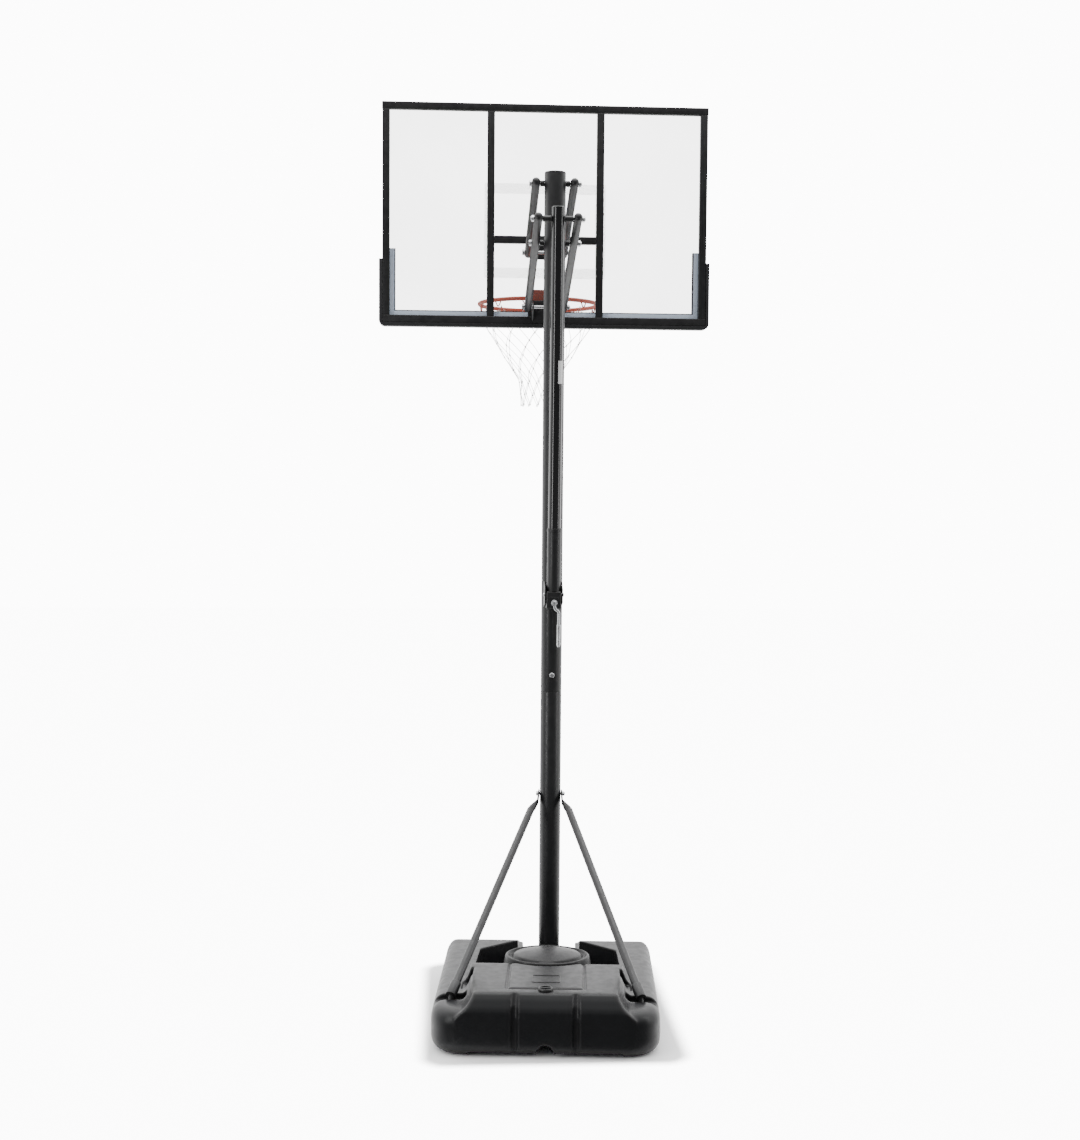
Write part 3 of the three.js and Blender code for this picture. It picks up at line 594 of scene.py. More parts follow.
def flute(side):
    """An upright channel in the rear wall, which leans forward with it up to the deck's edge."""
    plan = ((-13, -30), (13, -30), (13, 1), (4, 10), (-4, 10), (-13, 1))
    levels = ((-5, 0), (118, 2), (150, 12), (170, 25), (DECK_TOP + 20, 50))
    return loft([[Vector((side * 91 + x, BASE_REAR + lean + y, z)) for x, y in plan] for z, lean in levels])


def base_cutters():
    """What is taken out of the joined solids, from the underside to the flutes in the rear wall."""
    above = DECK_TOP + 60
    groove_rear, groove_front = STRUT_FOOT.y - 26, STRUT_FOOT.y + 26
    tools = [
        box((-RUNNER_INNER, BASE_REAR - 10, -5), (RUNNER_INNER, -80, RECESS)),
        box((-104, -318, 88), (104, BASE_FRONT + 10, above)),
        box((-SEAT_HALF, -46, SEAT_TOP), (SEAT_HALF, BASE_FRONT + 10, above)),
        turned(solid_profile(25, 0, 80, 1), (0, BASE_REAR - 10, RECESS), Y, 40),
        dome_ring(),
    ]
    for _, side in SIDES:
        well = [(98, -496), (238, -496), (226, -206), (98, -100)]
        tools += [
            side_box(side, SEAT_HALF, SLOT_HALF, -46, BASE_FRONT + 10, -5, above),
            rounded(mirrored_prism(well, side, 52, above), 10),
            rounded(side_box(side, 240, BASE_HALF + 15, groove_rear, groove_front, GROOVE_FLOOR, above), 7),
            side_box(side, 226, 263, -612, -546, 132, above),
            flute(side),
        ]
    return tools


def deck_grooves():
    """Moulded lines in the deck: a step round its sunk centre panel, open towards the dome."""
    low_z, high_z = DECK_TOP - 6, DECK_TOP + 9
    tools = [box((-119, -747, low_z), (119, -737, high_z))]
    for _, side in SIDES:
        tools.append(side_box(side, 109, 119, -747, DECK_FRONT + 5, low_z, high_z))
    return tools


def shape_of(obj):
    """The object's mesh as a shape; the object itself is used up."""
    shape = [v.co.copy() for v in obj.data.vertices], [list(p.vertices) for p in obj.data.polygons]
    bpy.data.objects.remove(obj)
    return shape


def make_base():
    body = link_mesh("tank_body", slab_shape())
    tidy_mesh(body, least=1e-3)
    body = shape_of(remeshed(cut(body, front_slope()), 5, 14))
    obj = link_mesh("base_shell_skin", merged(body, deck_shape()))
    remeshed(obj, 4, 3)
    body = shape_of(cut(obj, *base_cutters(), *deck_grooves()))
    obj = link_mesh("base_shell_skin", merged(body, dome_shape()))
    remeshed(obj, 3, 5)
    cut(obj, turned(solid_profile(18, 0, 60, 1), CAP - Z * 30, Z, 48))
    obj.data.transform(TO_WORLD)
    obj.data.shade_smooth()
    dress(obj, TANK, "root", "base_shell")


make_base()


# ---- The rest of the ballast end ----

def base_piece(name, shape, material, *replaces, body="root", smooth_angle=38):
    """A piece whose shape is in millimetres in the tank's own frame."""
    piece(name, on_base(shape), material, body, *replaces, smooth_angle=smooth_angle)


def pan_screw(seat, axis, radius):
    """A round screw head with a sunk drive, standing on seat."""
    profile = ((0, -1), (1, -1), (1, 0.6), (0.8, 2.2), (0.4, 2.8), (0.3, 1.4), (0, 1.4))
    return turned([(radius * part, along) for part, along in profile], seat, axis, 24)


def make_fill_cap():
    rim = turned([(0, -20), (15.6, -20), (15.6, 0.4), (21.6, 0.4), (22.3, 1.2), (22.3, 5.4), (20.6, 7.6),
                  (18.4, 7.8), (17, 6.8), (16.4, 3.4), (0, 3)], CAP, Z, 64)
    bar = soft_box(CAP + Vector((-15.6, -2.6, 2.6)), CAP + Vector((15.6, 2.6, 7.6)), 1.2)
    ribs = [rod(0.6, foot + Z, foot + Z * 5.2, 0.3, 8) for foot in circle(CAP, X, Y, 21.9, 24)]
    base_piece("fill_cap_turned", merged(rim, bar, *ribs), MOULDED, "fill_cap", body="fill_cap")


def make_label_frame():
    """The raised outline of an empty label field on the deck."""
    x, rear, front = 42, -687, -622
    corners = [Vector((*p, DECK_TOP)) for p in ((-x, rear), (x, rear), (x, front), (-x, front))]
    start = corners[0].lerp(corners[1], 0.5)
    path = bend([start, *corners[1:], corners[0], start], 7)
    base_piece("base_label_field", sweep(path[:-1], 1.5, 10, closed=True), TANK)


def make_wheels():
    centre = Vector((0, 0, AXLE_Z))
    base_piece("axle_rod", rod(6, centre - X * 150, centre + X * 150, 1.2, 40), ZINC, "axle")
    width = 38
    for name, side in SIDES:
        profile = [(6.5, 0), (12, 0), (13, 1), (14.5, 6.5), (26, 6.5), (28, 1), (31, 0.4), (34, 1.6), (36, 5),
                   (36.8, 9), (36.8, 13), (35.8, 13.6), (35.8, 15.4), (36.9, 16)]
        profile += [(r, width - a) for r, a in reversed(profile)]
        start = centre + X * side * 46
        tyre = turned(profile + profile[:1], start, X * side, 72)
        ribs = []
        for out in circle(Vector(), Y, Z, 1, 6):
            for face in (4.6, width - 4.6):
                hub = start + X * side * face
                ribs.append(sweep([hub + out * 13, hub + out * 27.5], 2, 10))
        base_piece(f"wheel_{name}_moulded", merged(tyre, *ribs), WHEEL, f"wheel_{name}", body=f"wheel_{name}")


def strut_section(centre, along, across, tall):
    """A ring round centre, across X by tall, that is round when both are alike and boxy when it is thin."""
    side = (X - along * along.x).normalized()
    up = along.cross(side)
    power = 2 if abs(across - tall) < 1 else 2.8
    points = []
    for i in range(28):
        turn = 2 * math.pi * i / 28
        c, s = math.cos(turn), math.sin(turn)
        points.append(centre + side * math.copysign(abs(c) ** (2 / power), c) * across
                      + up * math.copysign(abs(s) ** (2 / power), s) * tall)
    return points


def strut_shape(side, foot, top, along):
    """A round tube that flattens into a tongue with a round end, which lies against the pole."""
    slope = Vector((0, along.y, along.z)).normalized()
    hole = Vector((side * 39.2, 0, STRUT_BOLT_Z))
    tongue = [hole - slope * 34, hole]
    neck = top - along * 52
    thick = STRUT_RADIUS
    rings = [strut_section(foot, along, thick, thick), strut_section(neck, along, thick, thick)]
    for i in range(1, 8):
        t = i / 8
        ease = t * t * (3 - 2 * t)
        across, tall = thick + (TONGUE_THICK - thick) * ease, thick + (TONGUE_HALF - thick) * ease
        way = along.lerp(slope, t).normalized()
        rings.append(strut_section(neck.lerp(tongue[0], t), way, across, tall))
    for i in range(8):
        turn = math.pi / 2 * i / 7.4
        tip = tongue[1] + slope * TONGUE_HALF * math.sin(turn)
        rings.append(strut_section(tip, slope, TONGUE_THICK, TONGUE_HALF * math.cos(turn)))
    return loft(rings)


def make_struts():
    for name, side in SIDES:
        foot = Vector((side * STRUT_FOOT.x, STRUT_FOOT.y, STRUT_FOOT.z))
        top = Vector((side * STRUT_TOP.x, STRUT_TOP.y, STRUT_TOP.z))
        along = (top - foot).normalized()
        base_piece(f"strut_{name}_tube", strut_shape(side, foot, top, along), PAINT,
                   f"strut_{name}", smooth_angle=50)

        floor = Vector((foot.x, foot.y, GROOVE_FLOOR + 0.3))
        cup = turned(ring_profile(STRUT_RADIUS + 0.3, STRUT_RADIUS + 4, -14, 34, 1.2), foot, along, 48)
        stop = turned(solid_profile(STRUT_RADIUS + 1, -13, -1, 1), foot, along, 40)
        post = turned([(0, 0), (20.6, 0), (21, 0.8), (21, 4), (19.4, 5.2), (13.6, 6.4), (12, 10), (11.4, 34),
                       (0, 36)], floor, Z, 56)
        base_piece(f"strut_foot_{name}_cup", merged(cup, stop, post), MOULDED, f"strut_foot_{name}")
        screws = [pan_screw(floor + Vector((x, 0, 5)), Z, 3.2) for x in (16.5, -16.5)]
        base_piece(f"strut_foot_{name}_screws", merged(*screws), ZINC)

    centre = Vector((0, 0, STRUT_BOLT_Z))
    base_piece("strut_bolt_turned", bolt(centre - X * 42, centre + X * 42, 5, unit=1), ZINC, "strut_top_bolt")


make_fill_cap()
make_label_frame()
make_wheels()
make_struts()


# ---- Pole ----

def make_pole():
    for name in ("pole_lower", "pole_middle", "pole_upper"):
        bottom = low(name).z
        spigot = 0 if name == "pole_upper" else 120 * MM
        top = high(name).z - spigot
        foot = Vector((0, POLE_Y, 0))
        shapes = [tube(34 * MM, POLE_RADIUS, foot + Z * bottom, foot + Z * top, 0.9 * MM, 96)]
        if spigot:
            inside, end = foot + Z * (top - 30 * MM), foot + Z * (top + spigot)
            shapes.append(tube(31.8 * MM, 33.7 * MM, inside, end, 0.5 * MM))
        piece(f"{name}_tube", merged(*shapes), PAINT, "root", name)

    seat = Vector((0, POLE_Y, low("pole_cap").z + 18.3 * MM))
    profile = in_mm([(0, -16), (33.2, -16), (33.4, 0), (35.6, 0.1), (36, 0.6), (36, 2), (34.8, 3.6),
                     (32, 4.4), (0, 4.6)])
    piece("pole_cap_moulded", turned(profile, seat, Z, 80), MOULDED, "root", "pole_cap")

    bolt_at = middle("pole_joint_bolt")
    reach = POLE_RADIUS + 0.3 * MM
    rear, front = Vector((0, POLE_Y - reach, bolt_at.z)), Vector((0, POLE_Y + reach, bolt_at.z))
    piece("pole_joint_bolt_turned", bolt(rear, front, 5 * MM), ZINC, "root", "pole_joint_bolt")


make_pole()


# ---- Height linkage ----

ARM_OUTSIDE = ARM_X + ARM_RADIUS + 0.4 * MM
ARM_INSIDE = ARM_X - ARM_RADIUS - 0.4 * MM
ARM_LENGTH = ARM.length


def on_arm(pivot, x, along, up=0):
    return pivot + X * x + ARM_DIR * along + ARM_UP * up


def cross_bolt(node, body, centre):
    """A bolt through both arms of a row."""
    shape = bolt(centre - X * ARM_OUTSIDE, centre + X * ARM_OUTSIDE, 6 * MM)
    piece(f"{node}_turned", shape, ZINC, body, node)


def bushing(row, name, side, body, pivot, near):
    """A spacer on a pivot, from near to the inside of an arm."""
    shape = tube(6.4 * MM, 10 * MM, pivot + X * side * near, pivot + X * side * ARM_INSIDE, MM, 48)
    piece(f"{row}_bushing_{name}", shape, MOULDED, body, f"{row}_spacer_{name}")


def end_dome():
    """The profile of a plug with a domed head, which closes an arm's rear end."""
    head = [(14 * math.cos(turn), 1.8 + 10.4 * math.sin(turn))
            for turn in (math.pi / 2 * i / 8 for i in range(8))]
    return in_mm([(0, -4), (11.4, -4), (11.4, 0.35), (13.4, 0.35), (14, 0.9), *head, (0, 12.2)])


def make_arms():
    for row, pivot, rear in (("upper", UPPER_PIVOT, UPPER_REAR), ("lower", LOWER_PIVOT, LOWER_REAR)):
        body = f"{row}_arms"
        for name, side in SIDES:
            x = side * ARM_X
            start, end = on_arm(pivot, x, -rear), on_arm(pivot, x, ARM_LENGTH + 18 * MM)
            shape = tube(12 * MM, ARM_RADIUS, start, end, 0.8 * MM, 72)
            piece(f"{row}_arm_{name}_tube", shape, PAINT, body, f"{row}_arm_{name}")
            piece(f"{row}_arm_cap_{name}_dome", turned(end_dome(), start, -ARM_DIR, 64), MOULDED, body,
                  f"{row}_arm_cap_{name}")
            bushing(row, name, side, "root", pivot, POLE_RADIUS + 0.4 * MM)
    for name, side in SIDES:
        pin = on_arm(LOWER_PIVOT, 0, -REAR_REACH)
        inner, seat = pin + X * side * 22 * MM, pin + X * side * ARM_OUTSIDE
        shape = bolt(inner + X * side * 3 * MM, seat, 6 * MM, head=False)
        piece(f"rear_pin_{name}_turned", shape, ZINC, "lower_arms", f"rear_pin_{name}")
        bushing("rear", name, side, "lower_arms", pin, 22 * MM)
    cross_bolt("upper_pivot_bolt", "root", UPPER_PIVOT)
    cross_bolt("lower_pivot_bolt", "root", LOWER_PIVOT)


make_arms()


# ---- Screw jack ----

# Both ends of the jack's upper tube along its axis, in millimetres.
JACK_TOP = (high("jack_upper_tube") - JACK).dot(JACK_DIR) / MM
JACK_BOTTOM = 213


def jack_box(lo, hi, radius):
    """A soft-edged box in the jack's frame, in millimetres."""
    verts, faces = soft_box(lo, hi, radius)
    return [jack_point(*v) for v in verts], faces


def on_jack(profile, segments=80):
    """A profile in millimetres turned about the jack's axis."""
    return turned(in_mm(profile), JACK, JACK_DIR, segments)


def make_jack_bracket():
    lo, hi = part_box("jack_bracket")
    corner = Vector((0, POLE_Y, lo.z))
    ears = []
    for _, side in SIDES:
        outline = in_mm([(-104, 20), (-38, 0), (-38, 88), (-70, 88), (-104, 66)])
        outline = [(corner.y + y, corner.z + z) for y, z in outline]
        ears.append(rounded(prism(outline, 0, *span(side, 27 * MM, 31 * MM)), MM, 3))
    plate = soft_box((lo.x, POLE_Y - 43 * MM, lo.z), (hi.x, POLE_Y - 37 * MM, hi.z), 1.5 * MM)
    piece("jack_bracket_plates", merged(plate, *ears), PAINT, "root", "jack_bracket")
    screws = [hexagon(corner + Vector((x, -43, z)) * MM, -Y, 9 * MM, 3.4 * MM)
              for z in (12, 76) for x in (-20, 20)]
    piece("jack_bracket_screws", merged(*screws), ZINC, "root")


def make_gear_housing():
    housing = jack_box((-25, -23, -46), (25, 23, 13.4), 4)
    ribs = [jack_box((-25.6, -23.6, z), (25.6, 23.6, z + 3), 1) for z in (-44, -8)]
    piece("gear_housing_cast", merged(housing, *ribs), PAINT, "jack_lower", "gear_housing")
    trunnions = [rod(6 * MM, jack_point(side * 24, 0, 0), jack_point(side * 35, 0, 0)) for _, side in SIDES]
    piece("gear_housing_trunnions", merged(*trunnions), ZINC, "jack_lower")


def make_jack_tubes():
    sleeve = on_jack(ring_profile(21.5, 23.5, 14, 224.8, 0.8))
    collar = on_jack(ring_profile(21.6, 24.6, 212, 224.8, 1))
    piece("jack_outer_tube_sleeve", merged(sleeve, collar), PAINT, "jack_lower", "jack_outer_tube")

    cap = JACK_TOP - 4
    upper = on_jack([(0, cap - 3), (17, cap - 3), (19, JACK_BOTTOM + 40), (19, JACK_BOTTOM),
                     (20.6, JACK_BOTTOM), (21, JACK_BOTTOM + 0.5), (21, cap), (21.3, cap + 0.2),
                     (21.3, cap + 2.6), (20, JACK_TOP), (0, JACK_TOP)], 96)
    piece("jack_upper_tube_drawn", upper, GLOSS, "jack_upper", "jack_upper_tube")


def make_jack_label():
    """A plain label that wraps part of the upper tube, on the side away from the pole."""
    turns = [math.radians(14 + 7 * i) for i in range(9)]
    label = [(21.05 * math.sin(turn), 21.05 * math.cos(turn)) for turn in turns]
    label += [(21.2 * math.sin(turn), 21.2 * math.cos(turn)) for turn in reversed(turns)]
    rings = [[jack_point(x, -y, end) for x, y in label] for end in (705, 780)]
    piece("jack_plain_label", loft(rings), STICKER, "jack_upper")


def make_lead_screw():
    turns, pitch, steps = 50, 4, 12
    thread = []
    for i in range(turns * steps):
        turn = 2 * math.pi * i / steps
        thread.append(jack_point(7.2 * math.cos(turn), 7.2 * math.sin(turn), 34 + pitch * i / steps))
    core = rod(7 * MM, jack_point(0, 0, -12), jack_point(0, 0, JACK_BOTTOM + 36), segments=32)
    thread = sweep(thread, 0.8 * MM, 5)
    piece("lead_screw_threaded", merged(core, thread), ZINC, "lead_screw", "lead_screw")


def make_crank():
    out = -38
    hub = -22
    corners = ((0, out, hub - 4), (3, out, -44), (16, out, -52), (16, out, -171))
    arm = sweep(bend([jack_point(*corner) for corner in corners], 7 * MM), 4.4 * MM, 24)
    boss = rod(10 * MM, jack_point(0, -46, hub), jack_point(0, -26, hub), 1.6 * MM, 48)
    shaft = rod(6 * MM, jack_point(0, -30, hub), jack_point(0, -15, hub), 0.6 * MM)
    nut = hexagon(jack_point(0, -44, hub), JACK_BACK, 12 * MM, 4 * MM)
    piece("crank_arm_bent", merged(arm, boss, shaft, nut), ZINC, "crank", "crank_arm")
    profile = in_mm([(5, 0), (5.9, 0), (6.3, 0.8), (6.3, 6), (5.9, 7), (5.9, 63), (6.3, 64), (6.3, 69),
                     (5.8, 70), (5, 70), (5, 0)])
    grip = turned(profile, jack_point(16, out, -166), JACK_DIR, 48)
    piece("crank_grip_sleeve", grip, ZINC, "crank_grip", "crank_grip")


make_jack_bracket()
make_gear_housing()
make_jack_tubes()
make_jack_label()
make_lead_screw()
make_crank()


# ---- Board ----

RAIL_BACK = low("frame_top").y
PANEL_BACK, PANEL_FRONT = low("board_panel").y, high("board_panel").y
BOARD_LOW, BOARD_HIGH = low("frame_bottom").z, high("frame_top").z
BOARD_HALF = high("frame_top").x
RAIL = high("frame_bottom").z - BOARD_LOW
TARGET_HALF = 0.225
TARGET_LOW = RIM.z + 0.056
TARGET_HIGH = TARGET_LOW + 0.347
TARGET_WIDTH = 0.038
PAD_WALL_TOP = 2.503
PAD_GAP = 0.3 * MM
PAD_LIP = 48 * MM
EAR_INSIDE = 44 * MM
EAR_OUTSIDE = 49 * MM
EAR_NOSE = 13 * MM


def make_rails():
    for name in ("frame_top", "frame_bottom", "mid_rail", "frame_left", "frame_right", "mullion_left",
                 "mullion_right"):
        lo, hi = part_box(name)
        piece(f"{name}_tube", soft_box(lo, hi, 2.4 * MM, 4), PAINT, "board", name)
    plugs = []
    for name in ("frame_top", "frame_bottom"):
        lo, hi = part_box(name)
        for _, side in SIDES:
            near, far = span(side, BOARD_HALF - 4 * MM, BOARD_HALF + 1.6 * MM)
            plugs.append(soft_box((near, lo.y + MM, lo.z + MM), (far, hi.y - MM, hi.z - MM), 1.2 * MM))
    piece("frame_end_plugs", merged(*plugs), MOULDED, "board")


def make_panel():
    lo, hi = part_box("board_panel")
    piece("board_panel_sheet", soft_box(lo, hi, 0.8 * MM, 2), PANEL, "board", "board_panel")


def make_print():
    """The target: four printed bars on the panel's court side."""
    outer, inner = TARGET_HALF, TARGET_HALF - TARGET_WIDTH
    low_z, high_z = TARGET_LOW + TARGET_WIDTH, TARGET_HIGH - TARGET_WIDTH
    bars = [(-outer, outer, high_z, TARGET_HIGH), (-outer, outer, TARGET_LOW, low_z),
            (-outer, -inner, low_z, high_z), (inner, outer, low_z, high_z)]
    near, far = PANEL_FRONT - 0.02 * MM, PANEL_FRONT + 0.08 * MM
    target = merged(*[box((x0, near, z0), (x1, far, z1)) for x0, x1, z0, z1 in bars])
    piece("target_square_print", target, PRINT_WHITE, "board")


def make_pad():
    lo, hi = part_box("edge_pad")
    corner = 22 * MM
    outline = [(lo.x, hi.z), *arc((lo.x + corner, lo.z + corner), corner, 2, 8),
               *arc((hi.x - corner, lo.z + corner), corner, 3, 8), (hi.x, hi.z)]
    obj = link_mesh("edge_pad_skin", prism(outline, 1, lo.y, hi.y))
    tidy_mesh(obj)
    half = BOARD_HALF + PAD_GAP
    seat = PANEL_FRONT + PAD_GAP
    before, after = lo - Vector((5, 5, 5)) * MM, hi + Vector((5, 5, 5)) * MM
    cut(obj,
        box((-half, before.y, BOARD_LOW - PAD_GAP), (half, seat, after.z)),
        box((PAD_LIP - BOARD_HALF, seat - 5 * MM, BOARD_LOW + PAD_LIP),
            (BOARD_HALF - PAD_LIP, after.y, after.z)),
        box((before.x, before.y, PAD_WALL_TOP), (-BOARD_HALF, after.y, after.z)),
        box((BOARD_HALF, before.y, PAD_WALL_TOP), after))
    piece("edge_pad_moulded", rounded(shape_of(obj), 2.2 * MM, 3), PAD, "board", "edge_pad")

    # A pale strip on the panel's back, under the pad's flange: painted light where the black flange shows
    # through the panel, not a part of the pad.
    near, far = PANEL_BACK - 0.25 * MM, PANEL_BACK - 0.05 * MM
    inner, outer = BOARD_HALF - PAD_LIP + 4 * MM, BOARD_HALF - RAIL - PAD_GAP
    bottom, top = BOARD_LOW + RAIL + PAD_GAP, BOARD_LOW + PAD_LIP - 4 * MM
    strips = [box((-inner, near, bottom), (inner, far, top))]
    for _, side in SIDES:
        x0, x1 = span(side, inner, outer)
        strips.append(box((x0, near, bottom), (x1, far, hi.z - MM)))
    piece("edge_pad_painted_light", merged(*strips), PAD_PAINTED_LIGHT, "board")


def bracket_ears(pivot, low_z, high_z):
    """Two ears that hold a row's board ends, and the plate that joins them against the rails."""
    shapes = []
    back = RAIL_BACK - 0.3 * MM
    for _, side in SIDES:
        nose = arc((pivot.y, pivot.z), EAR_NOSE, 1, 5) + arc((pivot.y, pivot.z), EAR_NOSE, 2, 5)[1:]
        outline = nose + [(back - MM, low_z), (back - MM, high_z)]
        shapes.append(rounded(prism(outline, 0, *span(side, EAR_INSIDE, EAR_OUTSIDE)), 0.8 * MM, 2))
    shapes.append(soft_box((-EAR_OUTSIDE, back - 4 * MM, low_z), (EAR_OUTSIDE, back, high_z), MM))
    return merged(*shapes)


def make_board_brackets():
    lo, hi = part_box("board_bracket_upper")
    upper = BOARD_PIVOT + Z * (UPPER_PIVOT.z - LOWER_PIVOT.z)
    piece("board_bracket_upper_plates", bracket_ears(upper, lo.z, hi.z), PAINT, "board",
          "board_bracket_upper")
    lo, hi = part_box("board_bracket_lower")
    backing = soft_box((lo.x, PANEL_BACK - 4.3 * MM, lo.z + 24 * MM),
                       (hi.x, PANEL_BACK - 0.3 * MM, hi.z), MM)
    roof = soft_box((lo.x, RAIL_BACK - MM, hi.z - 4 * MM), (hi.x, PANEL_BACK - 0.4 * MM, hi.z), MM)
    plates = merged(bracket_ears(BOARD_PIVOT, lo.z, hi.z), backing, roof)
    piece("board_bracket_lower_plates", plates, PAINT, "board", "board_bracket_lower")
    cross_bolt("board_bolt_upper", "board", upper)
    cross_bolt("board_bolt_lower", "board", BOARD_PIVOT)


make_rails()
make_panel()
make_print()
make_pad()
make_board_brackets()


# ---- Rim and net ----

HOOKS = 12
NET_SHAPE = [(0, 221), (14, 219), (97, 205), (224, 125), (300, 76), (415, 66)]
NET_LEVELS = (24, 92, 152, 207, 258, 306, 352, 396)
NET_CORD = 1.3


def on_ring(turn, radius, drop):
    return RIM + Vector((radius * math.cos(turn), radius * math.sin(turn), -drop))


def make_rim():
    ring = sweep(circle(RIM, X, Y, RIM_RADIUS, 128), RIM_ROD, 24, closed=True)
    spread = 15 * MM / RIM_RADIUS
    hooks = []
    for i in range(HOOKS):
        turn = (i + 0.5) * 2 * math.pi / HOOKS
        corners = [on_ring(turn + spread * part, RIM_RADIUS, drop * MM)
                   for part, drop in ((-1, 5), (-0.25, 24), (0.25, 24), (1, 5))]
        hooks.append(sweep(bend(corners, 3.5 * MM, 4), 2.3 * MM, 10))
    piece("rim_ring_bent", merged(ring, *hooks), RIM_RED, "board", "rim_ring")


def make_rim_bracket():
    lo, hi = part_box("rim_bracket")
    face, low_z = lo.y, lo.z
    seat = RIM.z + RIM_ROD + 0.3 * MM
    ring_back = RIM.y - RIM_RADIUS + 4 * MM
    back_half, front_half = 62 * MM, 48 * MM
    plate = soft_box((-back_half, face, low_z), (back_half, face + 5 * MM, hi.z), 1.2 * MM)
    shelf = [(-back_half, face + MM), (back_half, face + MM),
             (front_half, ring_back), (-front_half, ring_back)]
    shapes = [plate, rounded(prism(shelf, 2, seat, seat + 5 * MM), 1.2 * MM, 3)]
    for _, side in SIDES:
        outline = [(face + MM, low_z + 2 * MM), (face + 5 * MM, low_z + 2 * MM),
                   (ring_back - 40 * MM, seat + MM), (face + MM, seat + MM)]
        shapes.append(rounded(prism(outline, 0, *span(side, 56 * MM, 60 * MM)), 0.8 * MM, 2))
    piece("rim_bracket_plates", merged(*shapes), RIM_RED, "board", "rim_bracket")

    for name, side in SIDES:
        lo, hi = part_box(f"rim_bolt_{name}")
        centre = Vector((side * 42 * MM, 0, (lo.z + hi.z) / 2))
        back, front = centre + Y * (PANEL_BACK - 4.6 * MM), centre + Y * (face + 5.2 * MM)
        piece(f"rim_bolt_{name}_turned", bolt(front, back, 4 * MM), ZINC, "board", f"rim_bolt_{name}")


def net_radius(drop):
    for (d0, r0), (d1, r1) in zip(NET_SHAPE, NET_SHAPE[1:]):
        if drop <= d1:
            return (r0 + (r1 - r0) * (drop - d0) / (d1 - d0) - NET_CORD) * MM
    return (NET_SHAPE[-1][1] - NET_CORD) * MM


def wobble(i, level):
    """A small fixed unevenness, so that the hand-tied diamonds aren't all alike."""
    return math.sin(i * 2.4 + level * 1.7) * 0.5 + math.sin(i * 5.1 - level * 3.3) * 0.5


def net_knot(i, level):
    shift = 0 if level % 2 == 0 else 0.5
    turn = (i + 0.5 + shift) * 2 * math.pi / HOOKS + wobble(i, level) * 0.012 * min(level, 3)
    drop = NET_LEVELS[level] + wobble(i + 7, level) * (1.6 if level else 0)
    return turn, drop


def net_strand(a, b):
    """A cord between two knots that follows the net's surface and sags a little."""
    path = []
    for step in range(6):
        t = step / 5
        turn = a[0] + (b[0] - a[0]) * t
        drop = a[1] + (b[1] - a[1]) * t
        path.append(on_ring(turn, net_radius(drop) - math.sin(math.pi * t) * 1.2 * MM, drop * MM))
    return sweep(path, NET_CORD * MM, 7)


def make_net():
    shapes = []
    last = len(NET_LEVELS) - 1
    for level in range(last):
        for i in range(HOOKS):
            a = net_knot(i, level)
            for step in (0, 1):
                j = i + step - (1 if level % 2 == 0 else 0)
                b = net_knot(j % HOOKS, level + 1)
                turns_apart = round((b[0] - a[0]) / (2 * math.pi))
                shapes.append(net_strand(a, (b[0] - turns_apart * 2 * math.pi, b[1])))
    for level in range(last + 1):
        for i in range(HOOKS):
            turn, drop = net_knot(i, level)
            size = 3.2 if level else 2.6
            radius = net_radius(drop) - 0.8 * MM
            ends = [on_ring(turn, radius, (drop + step) * MM) for step in (-4.2, -2.4, 0, 2.4, 4.2)]
            shapes.append(sweep(ends, [1.2 * MM, size * 0.85 * MM, size * MM, size * 0.85 * MM, 1.2 * MM], 8))
    piece("net_tied", merged(*shapes), CORD, "board", "net")


make_rim()
make_rim_bracket()
make_net()


# ---- Stage, light and camera ----

# How far in from the tank's edges the solid floor is rounded, over what width it thins, and to what.
FLOOR_ROUND = 0.05
FLOOR_FADE = 0.06
FLOOR_FAR = 0.05
# The strength of the world: as the camera sees it, and as light from behind, from the court and above.
WORLD_SEEN = 12.0
WORLD_BEHIND = 0.14
WORLD_COURT = 2.4
WORLD_TOP = 1.5
# In degrees, metres and, for the lens, millimetres.
CAMERA_AZIMUTH = 3.5
CAMERA_HEIGHT = 1.725
CAMERA_DISTANCE = 5.27
CAMERA_SHIFT = 0.041
CAMERA_PITCH = 3.63
CAMERA_ROLL = 0.45
CAMERA_LENS = 48.8


def make_floor():
    """A pale floor, solid round the tank and thinned away from it so that it meets the white backdrop."""
    size = 14
    corners = [(-size, -size, 0), (size, -size, 0), (size, size, 0), (-size, size, 0)]
    floor = link_mesh("floor", (corners, [[0, 1, 2, 3]]))
    n = Nodes(bpy.data.materials.new("studio_floor"))
    n.set(Roughness=0.8, Specular_IOR_Level=0.1)
    n.link(n.tint(n.noise(1.5), (0.90, 0.90, 0.90), (0.93, 0.93, 0.93)), n.shader.inputs["Base Color"])
    place = n.apart(n.place)
    centre = middle("base_shell")
    half = (high("base_shell") - low("base_shell")) / 2
    beyond = []
    for axis in (0, 1):
        out = n.math("ABSOLUTE", n.math("SUBTRACT", place[axis], centre[axis]))
        beyond.append(n.math("MAXIMUM", n.math("SUBTRACT", out, half[axis] - FLOOR_ROUND), 0))
    square = [n.math("POWER", value, 2) for value in beyond]
    away = n.math("SQRT", n.math("ADD", *square))
    thinned = n.spread(away, 1, FLOOR_FAR, FLOOR_ROUND, FLOOR_ROUND + FLOOR_FADE, True)
    n.link(thinned, n.shader.inputs["Alpha"])
    floor.data.materials.append(n.owner)


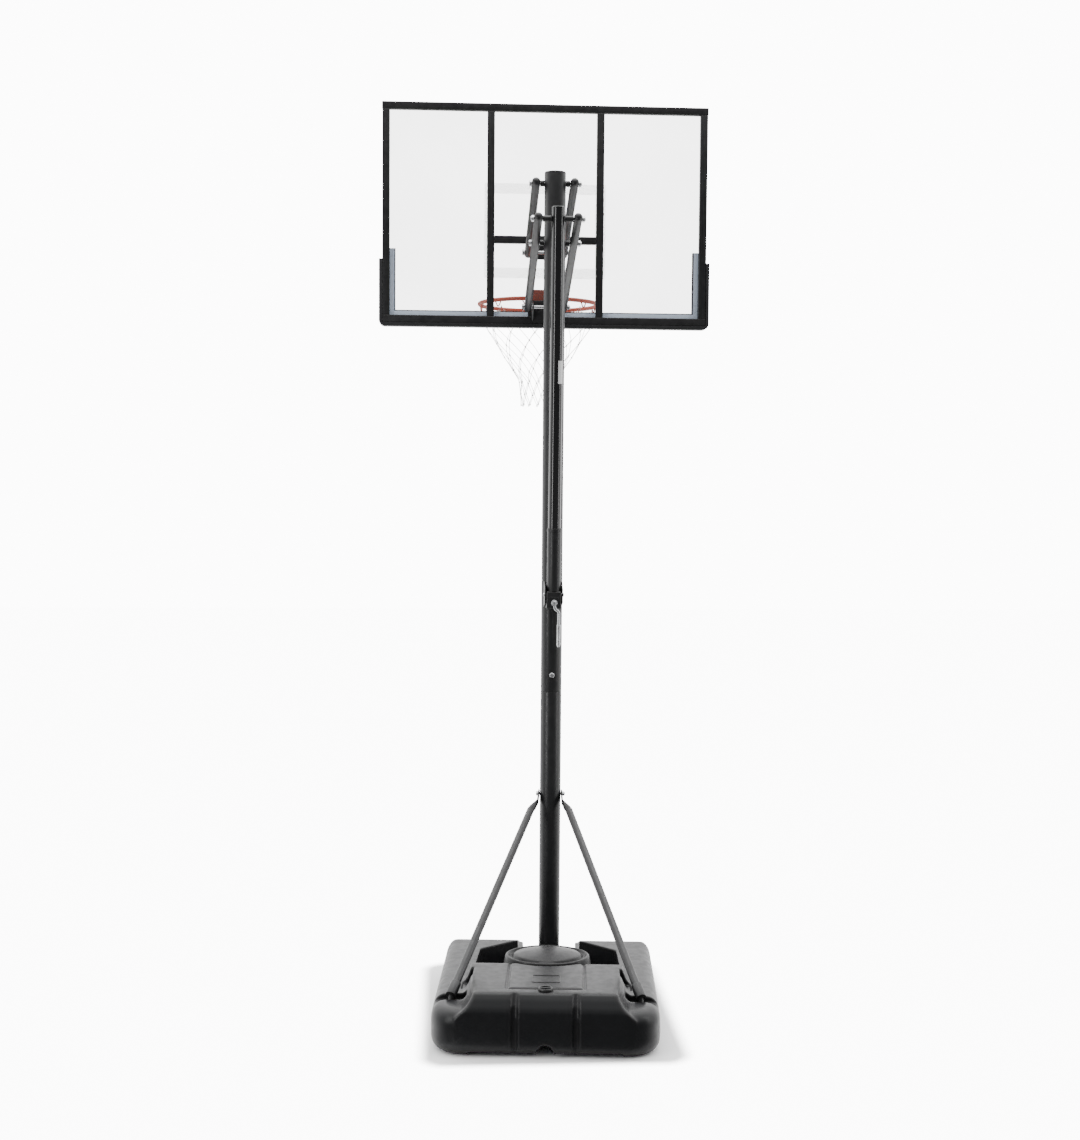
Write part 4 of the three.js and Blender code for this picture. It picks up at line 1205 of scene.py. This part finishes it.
def make_world():
    """White to the camera. Its light is bright from the court and above, and dark from behind the camera."""
    world = bpy.data.worlds.new("studio")
    bpy.context.scene.world = world
    n = Nodes(world)
    way = n.apart(n.places["Generated"])
    along = n.spread(way["Y"], WORLD_BEHIND, WORLD_COURT, -0.5, 0.5, True)
    above = n.spread(way["Z"], 0, WORLD_TOP, 0.25, 0.95, True)
    mix = n.new("MixShader")
    n.link(n.new("LightPath").outputs["Is Camera Ray"], mix.inputs["Fac"])
    for socket, strength in ((1, n.math("ADD", along, above)), (2, WORLD_SEEN)):
        light = n.new("Background")
        light.inputs["Color"].default_value = (1, 1, 1, 1)
        n.link(strength, light.inputs["Strength"])
        n.link(light.outputs[0], mix.inputs[socket])
    n.link(mix.outputs[0], n.tree.nodes["World Output"].inputs["Surface"])


def area_light(name, place, target, width, height, power):
    light = bpy.data.lights.new(name, "AREA")
    light.shape = "RECTANGLE"
    light.size, light.size_y = width, height
    light.energy = power
    obj = bpy.data.objects.new(name, light)
    obj.location = place
    obj.rotation_euler = (Vector(target) - Vector(place)).to_track_quat("-Z", "Y").to_euler()
    bpy.context.scene.collection.objects.link(obj)


def make_lights():
    area_light("left_strip", (-2.6, -2.4, 1.6), (0, POLE_Y, 1.5), 0.5, 2.8, 42)
    area_light("right_strip", (2.8, -1.3, 1.6), (0, POLE_Y, 1.5), 0.4, 2.8, 24)
    area_light("overhead", (0, 0.2, 4.6), (0, 0, 0), 3.0, 3.0, 75)


def make_camera():
    azimuth = math.radians(CAMERA_AZIMUTH)
    forward = Vector((math.sin(azimuth), math.cos(azimuth), 0))
    right = Vector((math.cos(azimuth), -math.sin(azimuth), 0))
    place = Vector((0, POLE_Y, CAMERA_HEIGHT)) - forward * CAMERA_DISTANCE - right * CAMERA_SHIFT
    pitch, roll = math.radians(CAMERA_PITCH), math.radians(CAMERA_ROLL)
    look = forward * math.cos(pitch) - Z * math.sin(pitch)
    up = right.cross(look)
    side = right * math.cos(roll) + up * math.sin(roll)
    top = up * math.cos(roll) - right * math.sin(roll)
    turn = Matrix((side, top, -look)).transposed()
    data = bpy.data.cameras.new("camera")
    data.lens = CAMERA_LENS
    data.sensor_width = 36
    data.sensor_fit = "VERTICAL"
    data.sensor_height = 36
    camera = bpy.data.objects.new("camera", data)
    camera.matrix_world = Matrix.Translation(place) @ turn.to_4x4()
    bpy.context.scene.collection.objects.link(camera)
    bpy.context.scene.camera = camera


make_floor()
make_world()
make_lights()
make_camera()
